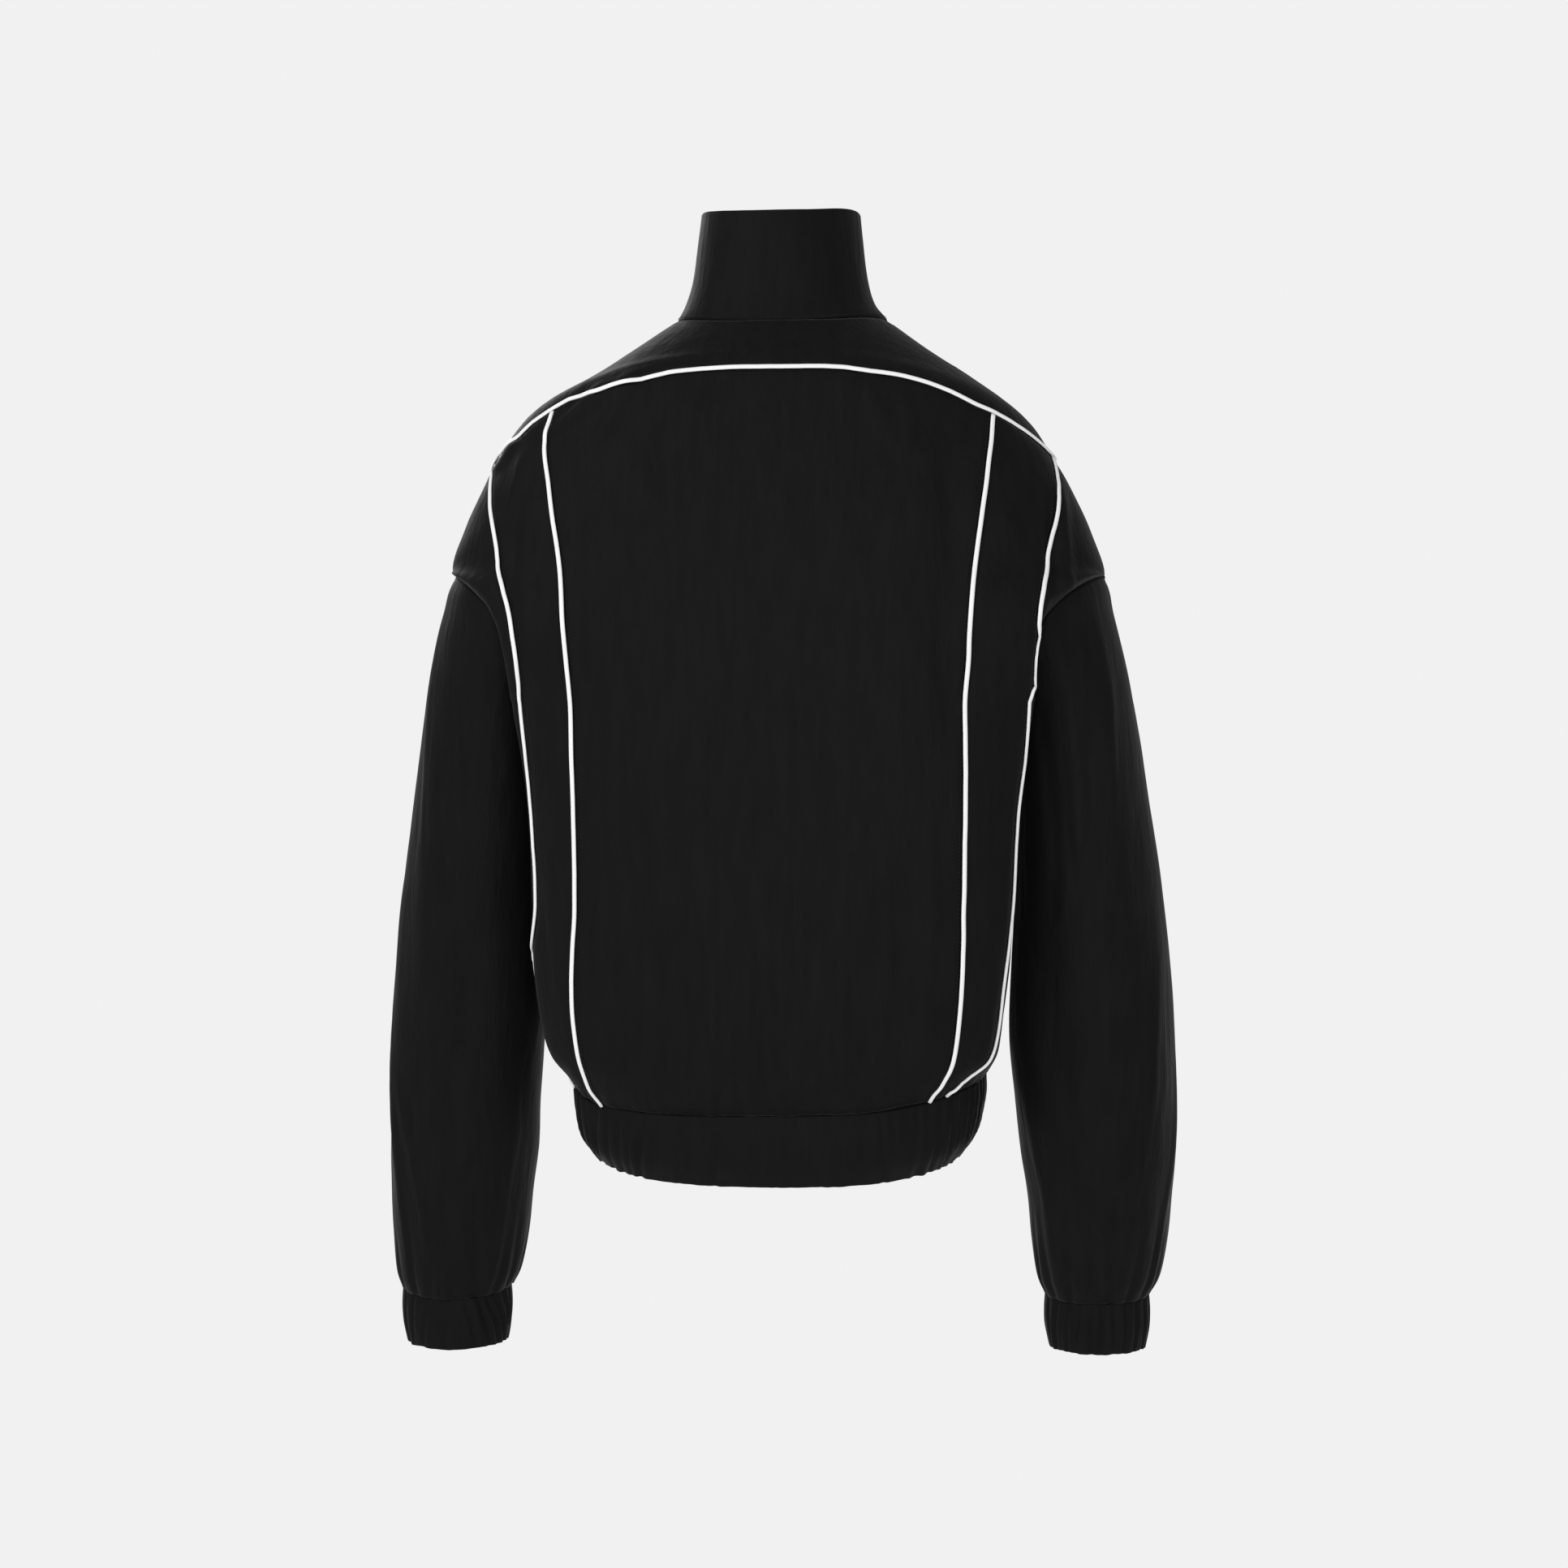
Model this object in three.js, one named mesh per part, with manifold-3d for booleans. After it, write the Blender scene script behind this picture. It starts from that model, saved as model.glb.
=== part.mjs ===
// A high-collared windbreaker, filled out as if worn, with nobody in it. Millimetres, +Z up.
// The front looks along -Y, the back along +Y, and the wearer's left is +X.
// The origin is level with the collar seam's side points, on the garment's middle plane.
//
// Band, body and collar are one stack of level rows. A row is a curve from the centre back
// to the side and on to the centre front. Panels are stretches of rows between seam lines,
// each one a cloth wall of its own, and a small gap parts neighbours at every seam.
import * as THREE from "three";
import { mergeVertices } from "three/addons/utils/BufferGeometryUtils.js";
import Module from "manifold-3d";

const CLOTH = 1.4; // wall of a panel
const BAND_CLOTH = 1.8; // wall of the elastic bands
const SEAM_GAP = 0.4; // between the edges of two panels
const BAND_GAP = 0.6; // between a band and the gathered edge above it
const PIPING_WIDTH = 3.6;
const PIPING_HEIGHT = 2.2;
const PIPING_LIFT = 0.9; // between a piping and the panels below it
const OPENING_HALF = 5; // half the gap between the two front edges, which the zip fills
const TAPE_WIDTH = 15; // one side of the zip
const TAPE_THICKNESS = 1;
const TAPE_GAP = 0.85; // between the tape and the front that covers it

// Places along the body, from the hem seam at 0 to the neck seam at 1.
const ARMPIT = 0.45;
const SHOULDER_POINT = 0.72; // top of the armhole
const YOKE = 0.86;

const black = { color: 0x17171a, roughness: 0.62, metalness: 0 };
const white = { color: 0xf2f2f0, roughness: 0.5, metalness: 0 };
const darkMetal = { color: 0x202022, roughness: 0.35, metalness: 0.8 };

// Turns rows of numbers into records with the named columns.
function table(columns, rows) {
  return rows.map((row) => Object.fromEntries(columns.map((name, i) => [name, row[i]])));
}

const ROW_COLUMNS = [
  "v", "backZ", "backY", "frontZ", "frontY", "sideX", "sideY", "sideZ", "width", "power",
  "climb", "lean", "tilt",
];
const TILT_REACH = 200; // distance from the middle plane at which a row has its full tilt
const FRONT_CLIMB = 2.2;

// width is how far the row's back corner would reach before the side is pressed in by the sleeve,
// power is how square the corner is, and climb is how late the back's row bends up or down to its
// end. lean moves the whole row to the wearer's left, and tilt lets its right end hang lower.
const BODY_ROWS = table(ROW_COLUMNS, [
  [0.0, -611, 108, -608, -106, 158.5, -4, -598, 160.5, 2.9, 3.6, 1, 0],
  [0.03, -594, 115, -590, -113, 165, -4, -582, 168, 3.2, 3.6, 2, 0],
  [0.08, -565, 121, -561, -118, 173, -5, -556, 180, 3.4, 3.6, 4, 0],
  [0.16, -513, 124, -510, -119, 176, -6, -508, 190, 3.5, 3.6, 3.5, 0],
  [0.25, -452, 124, -450, -118, 177, -7, -450, 194, 3.5, 3.6, 2, 0],
  [0.36, -371, 122, -370, -116, 178, -7, -370, 201, 3.5, 3.6, 1, 0],
  [ARMPIT, -303, 120, -304, -114, 178, -5, -300, 215, 3.4, 3.6, 1.5, 0],
  [0.585, -237, 117, -246, -111, 211, -4, -250, 221, 3.1, 3.4, 2.5, 1],
  [SHOULDER_POINT, -160, 111, -190, -107, 252, -4, -201, 252, 2.9, 3.2, 3.5, 2],
  [0.76, -128, 106, -163, -104, 243, -4, -168, 244, 2.8, 3.1, 3.5, 2.5],
  [0.81, -90, 99, -136, -101, 229, 0, -137, 230, 2.7, 2.9, 4, 2],
  [YOKE, -52, 90, -112, -98, 215, 5, -112, 216, 2.6, 2.7, 5, 1],
  [0.895, -40, 84, -93, -94, 194.5, 2, -83, 195.5, 2.5, 2.5, 4.5, 0.5],
  [0.93, -32, 77, -75, -89, 154.5, -3, -53.5, 155.5, 2.4, 2.3, 2, -0.5],
  [0.97, -21, 69, -59, -83, 112, -6, -24.5, 113, 2.3, 2.2, 0.9, -0.8],
  [1.0, -12, 62, -46, -78, 82, -5, -3, 82, 2.2, 2.2, -0.2, 0],
]);

const COLLAR_ROWS = table(ROW_COLUMNS, [
  [0.0, -12, 62, -46, -78, 82, -5, -3, 82, 2.2, 2.2, -0.2, 0],
  [0.14, 0, 59.5, -30, -77.5, 74, -7, 9, 74, 2.2, 2.2, 1.5, 0],
  [0.4, 22, 57, 2, -77, 68, -9, 29, 68, 2.2, 2.2, 1.7, 0],
  [0.8, 55.5, 54, 46, -76, 63.5, -11, 64.5, 63.5, 2.2, 2.2, 1.8, 0],
  [1.0, 73.3, 52, 71, -75, 61.8, -12, 81, 61.8, 2.2, 2.2, 1.8, 0],
]);

const BAND_ROWS = table(ROW_COLUMNS, [
  [0.0, -661, 101, -657, -99, 140, -4, -648, 140, 2.6, 3.2, 2.5, 0],
  [0.35, -645, 107, -642, -104, 151, -4, -633, 151, 2.8, 3.4, 1.5, 0],
  [0.75, -624, 109, -621, -107, 157, -4, -611, 157.5, 2.9, 3.6, 0.5, 0],
  [1.0, -611, 108, -608, -106, 158.5, -4, -598, 160.5, 2.9, 3.6, 1, 0],
]);

// Distances of the back's seam lines from the middle plane, along the body.
const SEAM_COLUMNS = ["v", "innerLeft", "outerLeft", "innerRight", "outerRight"];
const BACK_SEAMS = table(SEAM_COLUMNS, [
  [0.0, 126, 150, 119, 131.5],
  [0.03, 134, 168, 130, 149.5],
  [0.08, 139, 182, 141, 168],
  [0.16, 143, 184, 146, 175.5],
  [0.25, 142, 175.5, 146, 180],
  [0.36, 144, 181, 146, 184],
  [ARMPIT, 146, 188, 147, 194.5],
  [0.52, 148, 188, 149.5, 199.5],
  [0.585, 150, 190.5, 152, 203],
  [0.655, 153, 202, 156, 207.5],
  [SHOULDER_POINT, 158, 205.5, 160, 210],
  [0.76, 163, 212, 163.5, 215],
  [0.81, 167, 213.5, 167, 217.5],
  [YOKE, 161, 213, 169.5, 213],
]);
const SEAM_TO_SHOULDER = 6; // least distance from a seam of the back to the shoulder line
const LEFT_SEAM_TURN = 16; // how far the left outer seam turns round the side above the hem

// The armhole is a ring through the armpit and the shoulder point, this deep behind and in front.
const ARMHOLE_BACK = 78;
const ARMHOLE_FRONT = 74;
const ARMHOLE_STEPS = 9; // straight pieces in half the ring
const ARMHOLE_EASE = 0.7; // how much shorter they are near the armpit and the shoulder point
const ARMHOLE_BOW = { back: [-10, 5, 12], front: [-6, -2, 8] }; // bend of the ring's middle

// Broad soft folds of the body: where their line starts and ends, half width and height.
const BODY_FOLDS = table(["face", "x", "top", "endX", "bottom", "width", "height"], [
  ["back", 20, -180, 14, -600, 22, 3.0],
  ["back", -22, -230, -14, -605, 20, 2.6],
  ["back", -58, -400, -52, -600, 22, 2.4],
  ["back", 84, -330, 96, -600, 26, -2.6],
  ["back", -104, -300, -96, -600, 26, -2.2],
  ["back", 118, -90, 78, -170, 20, 2.2],
  ["back", -124, -92, -92, -180, 20, 1.8],
  ["front", 60, -240, 72, -600, 24, 3.0],
  ["front", -66, -200, -58, -600, 26, 2.8],
  ["front", 122, -330, 112, -600, 24, -2.4],
  ["front", -118, -300, -126, -600, 24, -2.6],
]);

const ROW_CACHE = new Map();
const QUARTER = 64; // straight pieces that a row's quarter is measured with

// Smooth value of a column at v, through the table's rows.
function column(rows, name, v) {
  const last = rows.length - 1;
  let i = rows.findIndex((row) => row.v >= v);
  if (i < 0) i = last;
  i = Math.max(1, i) - 1;
  const slope = (k) => {
    const a = rows[Math.max(0, k - 1)];
    const b = rows[Math.min(last, k + 1)];
    return (b[name] - a[name]) / (b.v - a.v);
  };
  const a = rows[i];
  const b = rows[i + 1];
  const step = b.v - a.v;
  const s = (v - a.v) / step;
  const rise = s * s * (3 - 2 * s);
  const startPull = s * (1 - s) * (1 - s) * step * slope(i);
  const endPull = s * s * (s - 1) * step * slope(i + 1);
  return a[name] + (b[name] - a[name]) * rise + startPull + endPull;
}

function smoothStep(low, high, value) {
  const s = Math.min(1, Math.max(0, (value - low) / (high - low)));
  return s * s * (3 - 2 * s);
}

// A point of the armhole's smooth ring on the left side: turn 0 is the armpit, half a turn the top.
function armholePoint(face, turn) {
  const bottom = BODY_ROWS.find((row) => row.v === ARMPIT);
  const top = BODY_ROWS.find((row) => row.v === SHOULDER_POINT);
  const armpit = new THREE.Vector3(bottom.sideX, bottom.sideY, bottom.sideZ);
  const shoulder = new THREE.Vector3(top.sideX, top.sideY, top.sideZ);
  const middle = armpit.clone().add(shoulder).multiplyScalar(0.5);
  const reach = shoulder.clone().sub(armpit).multiplyScalar(0.5);
  const depth = face === "back" ? ARMHOLE_BACK : -ARMHOLE_FRONT;
  const angle = Math.PI * turn - (ARMHOLE_EASE / 2) * Math.sin(2 * Math.PI * turn);
  const bow = new THREE.Vector3(...ARMHOLE_BOW[face]);
  return middle
    .addScaledVector(reach, -Math.cos(angle))
    .addScaledVector(bow, Math.sin(angle) ** 2)
    .add(new THREE.Vector3(0, depth * Math.sin(angle), 0));
}

// Where a row of the body ends on the left: side seam, armhole or shoulder line.
function rowEnd(rows, face, v) {
  if (rows === BODY_ROWS && v > ARMPIT && v < SHOULDER_POINT)
    return armholePoint(face, (v - ARMPIT) / (SHOULDER_POINT - ARMPIT));
  return new THREE.Vector3(
    column(rows, "sideX", v),
    column(rows, "sideY", v),
    column(rows, "sideZ", v),
  );
}

// The row's left half on one face, as points with the length run so far.
function halfRow(rows, face, v) {
  const key = rows.length + face + v.toFixed(7);
  if (ROW_CACHE.has(key)) return ROW_CACHE.get(key);
  const end = rowEnd(rows, face, v);
  const middleY = column(rows, face + "Y", v);
  const middleZ = column(rows, face + "Z", v);
  const power = column(rows, "power", v);
  const width = column(rows, "width", v) * (face === "front" && v < ARMPIT ? 0.97 : 1);
  const climb = face === "back" ? column(rows, "climb", v) : FRONT_CLIMB;
  const points = [];
  const lengths = [];
  let run = 0;
  for (let i = 0; i <= QUARTER; i++) {
    const angle = (Math.PI / 2) * (i / QUARTER) ** 1.4;
    const across = Math.sin(angle) ** (2 / power);
    const along = Math.max(0, Math.cos(angle)) ** (2 / power);
    const pressed = 1 - (face === "back" ? smoothStep(0.2, 0.75, along) : smoothStep(0.35, 0.9, along));
    const x = width * across + (end.x - width) * pressed;
    const y = end.y + (middleY - end.y) * along;
    const share = Math.min(1, across);
    const z = middleZ + (end.z - middleZ) * share ** climb;
    const point = new THREE.Vector3(x, y, z);
    if (i === QUARTER) point.copy(end);
    if (i > 0) run += point.distanceTo(points[i - 1]);
    points.push(point);
    lengths.push(run);
  }
  const row = { points, lengths, length: run };
  ROW_CACHE.set(key, row);
  return row;
}

// The point at a share of the row's length, from the middle plane at 0 to the row's end at 1.
function pointAtShare(row, share) {
  const target = Math.min(1, Math.max(0, share)) * row.length;
  let i = row.lengths.findIndex((run) => run >= target);
  if (i < 1) i = 1;
  const from = row.lengths[i - 1];
  const part = (target - from) / (row.lengths[i] - from);
  return row.points[i - 1].clone().lerp(row.points[i], part);
}

// The share of the row's length at which it is first this far from the middle plane.
function shareAtX(row, x) {
  const widest = row.points.reduce((best, point, k) => (point.x > row.points[best].x ? k : best), 0);
  const reached = row.points.findIndex((point) => point.x >= x);
  const i = Math.max(1, reached < 0 ? widest : reached);
  const a = row.points[i - 1];
  const b = row.points[i];
  const part = Math.min(1, Math.max(0, (x - a.x) / (b.x - a.x)));
  return (row.lengths[i - 1] + (row.lengths[i] - row.lengths[i - 1]) * part) / row.length;
}

// Height of the broad folds at a point of the body.
function foldHeight(face, point) {
  let height = 0;
  for (const fold of BODY_FOLDS) {
    if (fold.face !== face) continue;
    const run = (fold.top - point.z) / (fold.top - fold.bottom);
    if (run <= 0 || run >= 1.1) continue;
    const x = fold.x + (fold.endX - fold.x) * run;
    const away = (point.x - x) / fold.width;
    const fade = smoothStep(0, 0.3, run) * (1 - smoothStep(0.92, 1.1, run));
    height += fold.height * Math.exp(-away * away) * fade;
  }
  return height;
}

// Puts a point of a left half-row on its side, with the row's tilt and lean.
function setAskew(point, rows, side, v) {
  point.x *= side;
  point.z += (column(rows, "tilt", v) * point.x) / TILT_REACH;
  point.x += column(rows, "lean", v);
  return point;
}

// A surface point with its outward normal, side +1 for the wearer's left and -1 for the right.
// The normal comes from points a little way off along the row and above and below it.
function surface(rows, face, side, v, share) {
  const nudge = 0.004;
  const at = (vv, ss) => setAskew(pointAtShare(halfRow(rows, face, vv), ss), rows, side, vv);
  const low = Math.max(0, v - nudge);
  const high = Math.min(1, v + nudge);
  const near = Math.max(0, share - 0.02);
  const far = Math.min(1, share + 0.02);
  const up = at(high, share).sub(at(low, share));
  const out = at(v, far).sub(at(v, near));
  const normal = out.cross(up).normalize();
  if (face === "back") normal.negate();
  if (side < 0) normal.negate();
  const point = at(v, share);
  if (rows === BODY_ROWS) point.addScaledVector(normal, foldHeight(face, point));
  return { point, normal };
}

// A closed solid from a grid of outer and inner points. A closed grid joins its last column
// to its first. Columns run anticlockwise seen from above when rows run upwards.
function wall(outer, inner, closed) {
  const rowCount = outer.length;
  const columnCount = outer[0].length;
  const positions = [];
  const index = [];
  for (const layer of [outer, inner])
    for (const row of layer) for (const point of row) positions.push(point.x, point.y, point.z);
  const id = (layer, i, j) => layer * rowCount * columnCount + i * columnCount + (j % columnCount);
  const quad = (a, b, c, d) => index.push(a, b, c, a, c, d);
  const spans = closed ? columnCount : columnCount - 1;
  for (let i = 0; i < rowCount - 1; i++)
    for (let j = 0; j < spans; j++) {
      quad(id(0, i, j), id(0, i, j + 1), id(0, i + 1, j + 1), id(0, i + 1, j));
      quad(id(1, i, j), id(1, i + 1, j), id(1, i + 1, j + 1), id(1, i, j + 1));
    }
  const top = rowCount - 1;
  for (let j = 0; j < spans; j++) {
    quad(id(0, 0, j), id(1, 0, j), id(1, 0, j + 1), id(0, 0, j + 1));
    quad(id(0, top, j), id(0, top, j + 1), id(1, top, j + 1), id(1, top, j));
  }
  if (!closed) {
    const end = columnCount - 1;
    for (let i = 0; i < top; i++) {
      quad(id(0, i, 0), id(0, i + 1, 0), id(1, i + 1, 0), id(1, i, 0));
      quad(id(0, i, end), id(1, i, end), id(1, i + 1, end), id(0, i + 1, end));
    }
  }
  const geometry = new THREE.BufferGeometry();
  geometry.setAttribute("position", new THREE.Float32BufferAttribute(positions, 3));
  geometry.setIndex(index);
  geometry.computeVertexNormals();
  return geometry;
}

const jacket = new THREE.Group();

function addPiece(name, geometry, finish, parent = jacket) {
  const mesh = new THREE.Mesh(geometry, new THREE.MeshStandardMaterial(finish));
  mesh.name = name;
  parent.add(mesh);
  return mesh;
}

// A panel from a function that gives the surface spot at row i and column j.
function panel(name, rowCount, columnCount, spot, cloth = CLOTH, closed = false) {
  const outer = [];
  const inner = [];
  for (let i = 0; i < rowCount; i++) {
    const spots = [];
    for (let j = 0; j < columnCount; j++) spots.push(spot(i, j));
    outer.push(spots.map((s) => s.point));
    inner.push(spots.map((s) => s.point.clone().addScaledVector(s.normal, -cloth)));
  }
  addPiece(name, wall(outer, inner, closed), black);
}

// The rows that all body panels share, so that neighbours have the same corners at their seam.
const HEM_STEPS = [0, 0.02, 0.05, 0.09, 0.15, 0.225, 0.3, 0.375];
const armholeRows = Array.from(
  { length: ARMHOLE_STEPS + 1 },
  (_, i) => ARMPIT + ((SHOULDER_POINT - ARMPIT) * i) / ARMHOLE_STEPS,
);
const SHOULDER_STEPS = [0.75, 0.78, 0.805, 0.83, 0.845];
const YOKE_STEPS = [YOKE, 0.88, 0.905, 0.93, 0.955, 0.98, 1];
const EDGE_STEP = 0.0005; // about a third of a millimetre along the body

const lowerRows = [...HEM_STEPS, ...armholeRows, ...SHOULDER_STEPS, YOKE - EDGE_STEP];
const frontRows = [...HEM_STEPS, ...armholeRows, ...SHOULDER_STEPS, ...YOKE_STEPS];

// Shares of the row's length at the back's seams.
function innerSeam(v, side) {
  const name = side > 0 ? "innerLeft" : "innerRight";
  return shareAtX(halfRow(BODY_ROWS, "back", v), column(BACK_SEAMS, name, v));
}

function outerSeam(v, side) {
  const row = halfRow(BODY_ROWS, "back", v);
  const share = shareAtX(row, column(BACK_SEAMS, side > 0 ? "outerLeft" : "outerRight", v));
  const turn = side > 0 ? LEFT_SEAM_TURN * (1 - smoothStep(0.08, 0.21, v)) : 0;
  return Math.min(share + turn / row.length, 1 - SEAM_TO_SHOULDER / row.length);
}

// The share moved along the row by a distance in millimetres.
function moved(v, share, distance, face = "back") {
  return share + distance / halfRow(BODY_ROWS, face, v).length;
}

const CENTRE_COLUMNS = 14; // in the whole centre panel
const SIDE_BACK_COLUMNS = 4;
const SIDE_COLUMNS = 4;
const FRONT_COLUMNS = 6;

// Share of the front row at one of its columns: the opening's edge, the zip tape's outer edge,
// and then even steps to the row's end.
function frontShare(rows, v, step, count) {
  const row = halfRow(rows, "front", v);
  if (step === 0) return shareAtX(row, OPENING_HALF);
  const tapeEdge = shareAtX(row, TAPE_WIDTH + 1);
  return tapeEdge + ((1 - tapeEdge) * (step - 1)) / (count - 1);
}

function bodyPanels() {
  panel("back_centre", lowerRows.length, CENTRE_COLUMNS + 1, (i, j) => {
    const v = lowerRows[i];
    const across = 1 - (2 * j) / CENTRE_COLUMNS;
    const side = across < 0 ? -1 : 1;
    const edge = moved(v, innerSeam(v, side), -SEAM_GAP / 2);
    return surface(BODY_ROWS, "back", side, v, Math.abs(across) * edge);
  });
  for (const [label, side] of [["left", 1], ["right", -1]]) {
    panel("back_side_" + label, lowerRows.length, SIDE_BACK_COLUMNS + 1, (i, j) => {
      const v = lowerRows[i];
      const from = moved(v, innerSeam(v, side), SEAM_GAP / 2);
      const to = moved(v, outerSeam(v, side), -SEAM_GAP / 2);
      const step = side > 0 ? SIDE_BACK_COLUMNS - j : j;
      return surface(BODY_ROWS, "back", side, v, from + ((to - from) * step) / SIDE_BACK_COLUMNS);
    });
    panel("side_" + label, lowerRows.length, SIDE_COLUMNS + 1, (i, j) => {
      const v = lowerRows[i];
      const from = moved(v, outerSeam(v, side), SEAM_GAP / 2);
      const to = moved(v, 1, -SEAM_GAP / 2);
      const step = side > 0 ? SIDE_COLUMNS - j : j;
      return surface(BODY_ROWS, "back", side, v, from + ((to - from) * step) / SIDE_COLUMNS);
    });
    panel("front_" + label, frontRows.length, FRONT_COLUMNS + 1, (i, j) => {
      const v = frontRows[i];
      const end = moved(v, 1, -SEAM_GAP / 2, "front");
      const step = side > 0 ? j : FRONT_COLUMNS - j;
      const share = Math.min(end, frontShare(BODY_ROWS, v, step, FRONT_COLUMNS));
      return surface(BODY_ROWS, "front", side, v, share);
    });
  }
}

// Shares of the yoke's columns, those of the panels below it, from the left end to the right.
function yokeShares() {
  const v = YOKE - EDGE_STEP;
  const left = innerSeam(v, 1);
  const right = innerSeam(v, -1);
  const shares = [];
  for (let j = 0; j <= CENTRE_COLUMNS; j++) {
    const across = 1 - (2 * j) / CENTRE_COLUMNS;
    shares.push(across < 0 ? [-1, -across * right] : [1, across * left]);
  }
  for (const side of [1, -1]) {
    const inner = innerSeam(v, side);
    const outer = outerSeam(v, side);
    const beyond = [];
    for (let j = 1; j <= SIDE_BACK_COLUMNS; j++)
      beyond.push([side, inner + ((outer - inner) * j) / SIDE_BACK_COLUMNS]);
    for (let j = 1; j <= SIDE_COLUMNS; j++)
      beyond.push([side, outer + ((1 - outer) * j) / SIDE_COLUMNS]);
    if (side > 0) shares.unshift(...beyond.reverse());
    else shares.push(...beyond);
  }
  return shares;
}

function yoke() {
  const shares = yokeShares();
  panel("yoke", YOKE_STEPS.length, shares.length, (i, j) => {
    const v = YOKE_STEPS[i];
    const [side, share] = shares[j];
    const end = moved(v, 1, -SEAM_GAP / 2);
    return surface(BODY_ROWS, "back", side, v, Math.min(share, end));
  });
}

// Spots all round a collar or band row, from the left front edge over the back to the right one.
function roundShares(rows, frontColumns, backShares) {
  const spots = [];
  for (let j = 0; j < frontColumns; j++) spots.push({ face: "front", side: 1, step: j });
  for (const [side, share] of backShares) spots.push({ face: "back", side, share });
  for (let j = frontColumns - 1; j >= 0; j--) spots.push({ face: "front", side: -1, step: j });
  return (v, j) => {
    const spot = spots[j];
    if (spot.face === "back") return surface(rows, "back", spot.side, v, spot.share);
    return surface(rows, "front", spot.side, v, frontShare(rows, v, spot.step, frontColumns));
  };
}

function collar() {
  const steps = [0, 0.1, 0.3, 0.65, 1];
  const shares = yokeShares();
  const spotAt = roundShares(COLLAR_ROWS, FRONT_COLUMNS, shares);
  panel("collar", steps.length, shares.length + 2 * FRONT_COLUMNS, (i, j) => {
    const spot = spotAt(steps[i], j);
    if (i === 0) spot.point.z += SEAM_GAP;
    return spot;
  });
}

// Creases pressed into the hem band, at columns counted from its left front edge.
const BAND_COLUMNS = 120;
const BAND_CREASE_SHARE = 0.6; // the band's stiff wall takes this much of each crease's depth
const BAND_CREASES = table(["column", "depth"], [
  [2, 1.6], [6, 2.2], [11, 1.4], [15, 2.4], [20, 1.6], [25, 2.2], [29, 1.2], [33, 2.6],
  [37, 1.8], [40, 2.4], [43, 1.6], [48, 1.2], [54, 0.8], [60, 1.0], [66, 0.8], [72, 1.4],
  [76, 2.2], [79, 1.4], [82, 2.0], [85, 2.6], [88, 1.6], [93, 2.2], [97, 1.4], [102, 2.4],
  [107, 1.4], [112, 2.2], [116, 1.6],
]);

function hemBand() {
  const backColumns = 60;
  const frontColumns = (BAND_COLUMNS - backColumns) / 2;
  const shares = [];
  for (let j = 0; j <= backColumns; j++) {
    const across = 1 - (2 * j) / backColumns;
    shares.push([across < 0 ? -1 : 1, Math.abs(across)]);
  }
  const spotAt = roundShares(BAND_ROWS, frontColumns, shares);
  const steps = [0, 0.4, 1];
  panel("hem_band", steps.length, BAND_COLUMNS + 1, (i, j) => {
    const spot = spotAt(steps[i], j);
    const crease = BAND_CREASES.find((one) => one.column === j);
    if (crease) spot.point.addScaledVector(spot.normal, -crease.depth * BAND_CREASE_SHARE);
    if (i === steps.length - 1) spot.point.z -= BAND_GAP;
    return spot;
  }, BAND_CLOTH);
}

// Sections of a sleeve: outer and inner edge, the depth to the back and to the front of its
// middle, which lies forward of the body's. The first section is the armhole.
const SLEEVE_ROWS = table(
  ["v", "leftOut", "leftIn", "rightOut", "rightIn", "outZ", "inZ", "midY", "back", "front"],
  [
    [0.0, 255.5, 179.5, 248.5, 176.5, -201, -300, -4, ARMHOLE_BACK, ARMHOLE_FRONT],
    [0.07, 267.5, 183, 257.5, 180, -237, -318, -8, 78, 75],
    [0.15, 277, 184.5, 267.5, 181.5, -280, -340, -12, 77, 75],
    [0.25, 285, 185.5, 276.5, 181.5, -330, -372, -16, 76, 75],
    [0.35, 293, 186, 284, 181, -382, -412, -19, 75, 74],
    [0.46, 301.5, 187, 292.5, 179, -440, -458, -21, 73, 72],
    [0.57, 306.5, 189, 299.5, 176.5, -500, -510, -23, 71, 70],
    [0.67, 310, 191.5, 303.5, 175.5, -556, -560, -24, 68, 67],
    [0.76, 312.5, 194.5, 305.5, 180, -606, -608, -25, 64, 63],
    [0.84, 314, 196, 304.5, 184.5, -650, -650, -26, 60, 58],
    [0.9, 312.5, 202, 300.5, 190.5, -686, -686, -26, 54, 52],
    [0.95, 310.5, 207, 296, 194.5, -717, -717, -27, 47, 46],
    [0.98, 308.5, 212, 291, 198, -741, -741, -27, 41, 40],
    [1.0, 305, 218, 284, 203, -757, -757, -27, 36, 36],
  ],
);
const SLEEVE_COLUMNS = 4 * ARMHOLE_STEPS;
const ARMHOLE_GAP = 0.55; // between the armhole and the sleeve's edge
const SLEEVE_STEPS = [0, 0.07, 0.16, 0.27, 0.4, 0.53, 0.66, 0.78, 0.87, 0.935, 0.97, 1];
const CUFF_SAG = 9; // how much lower the cuff seam is at its back and front than at its sides
const FULLNESS = 0.33; // how square the sleeve's section is between its back and its inner edge
const PUFFS = 9; // rounded puffs of the gathered sleeve above the cuff
const PUFF_HEIGHT = 2.4;

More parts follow.
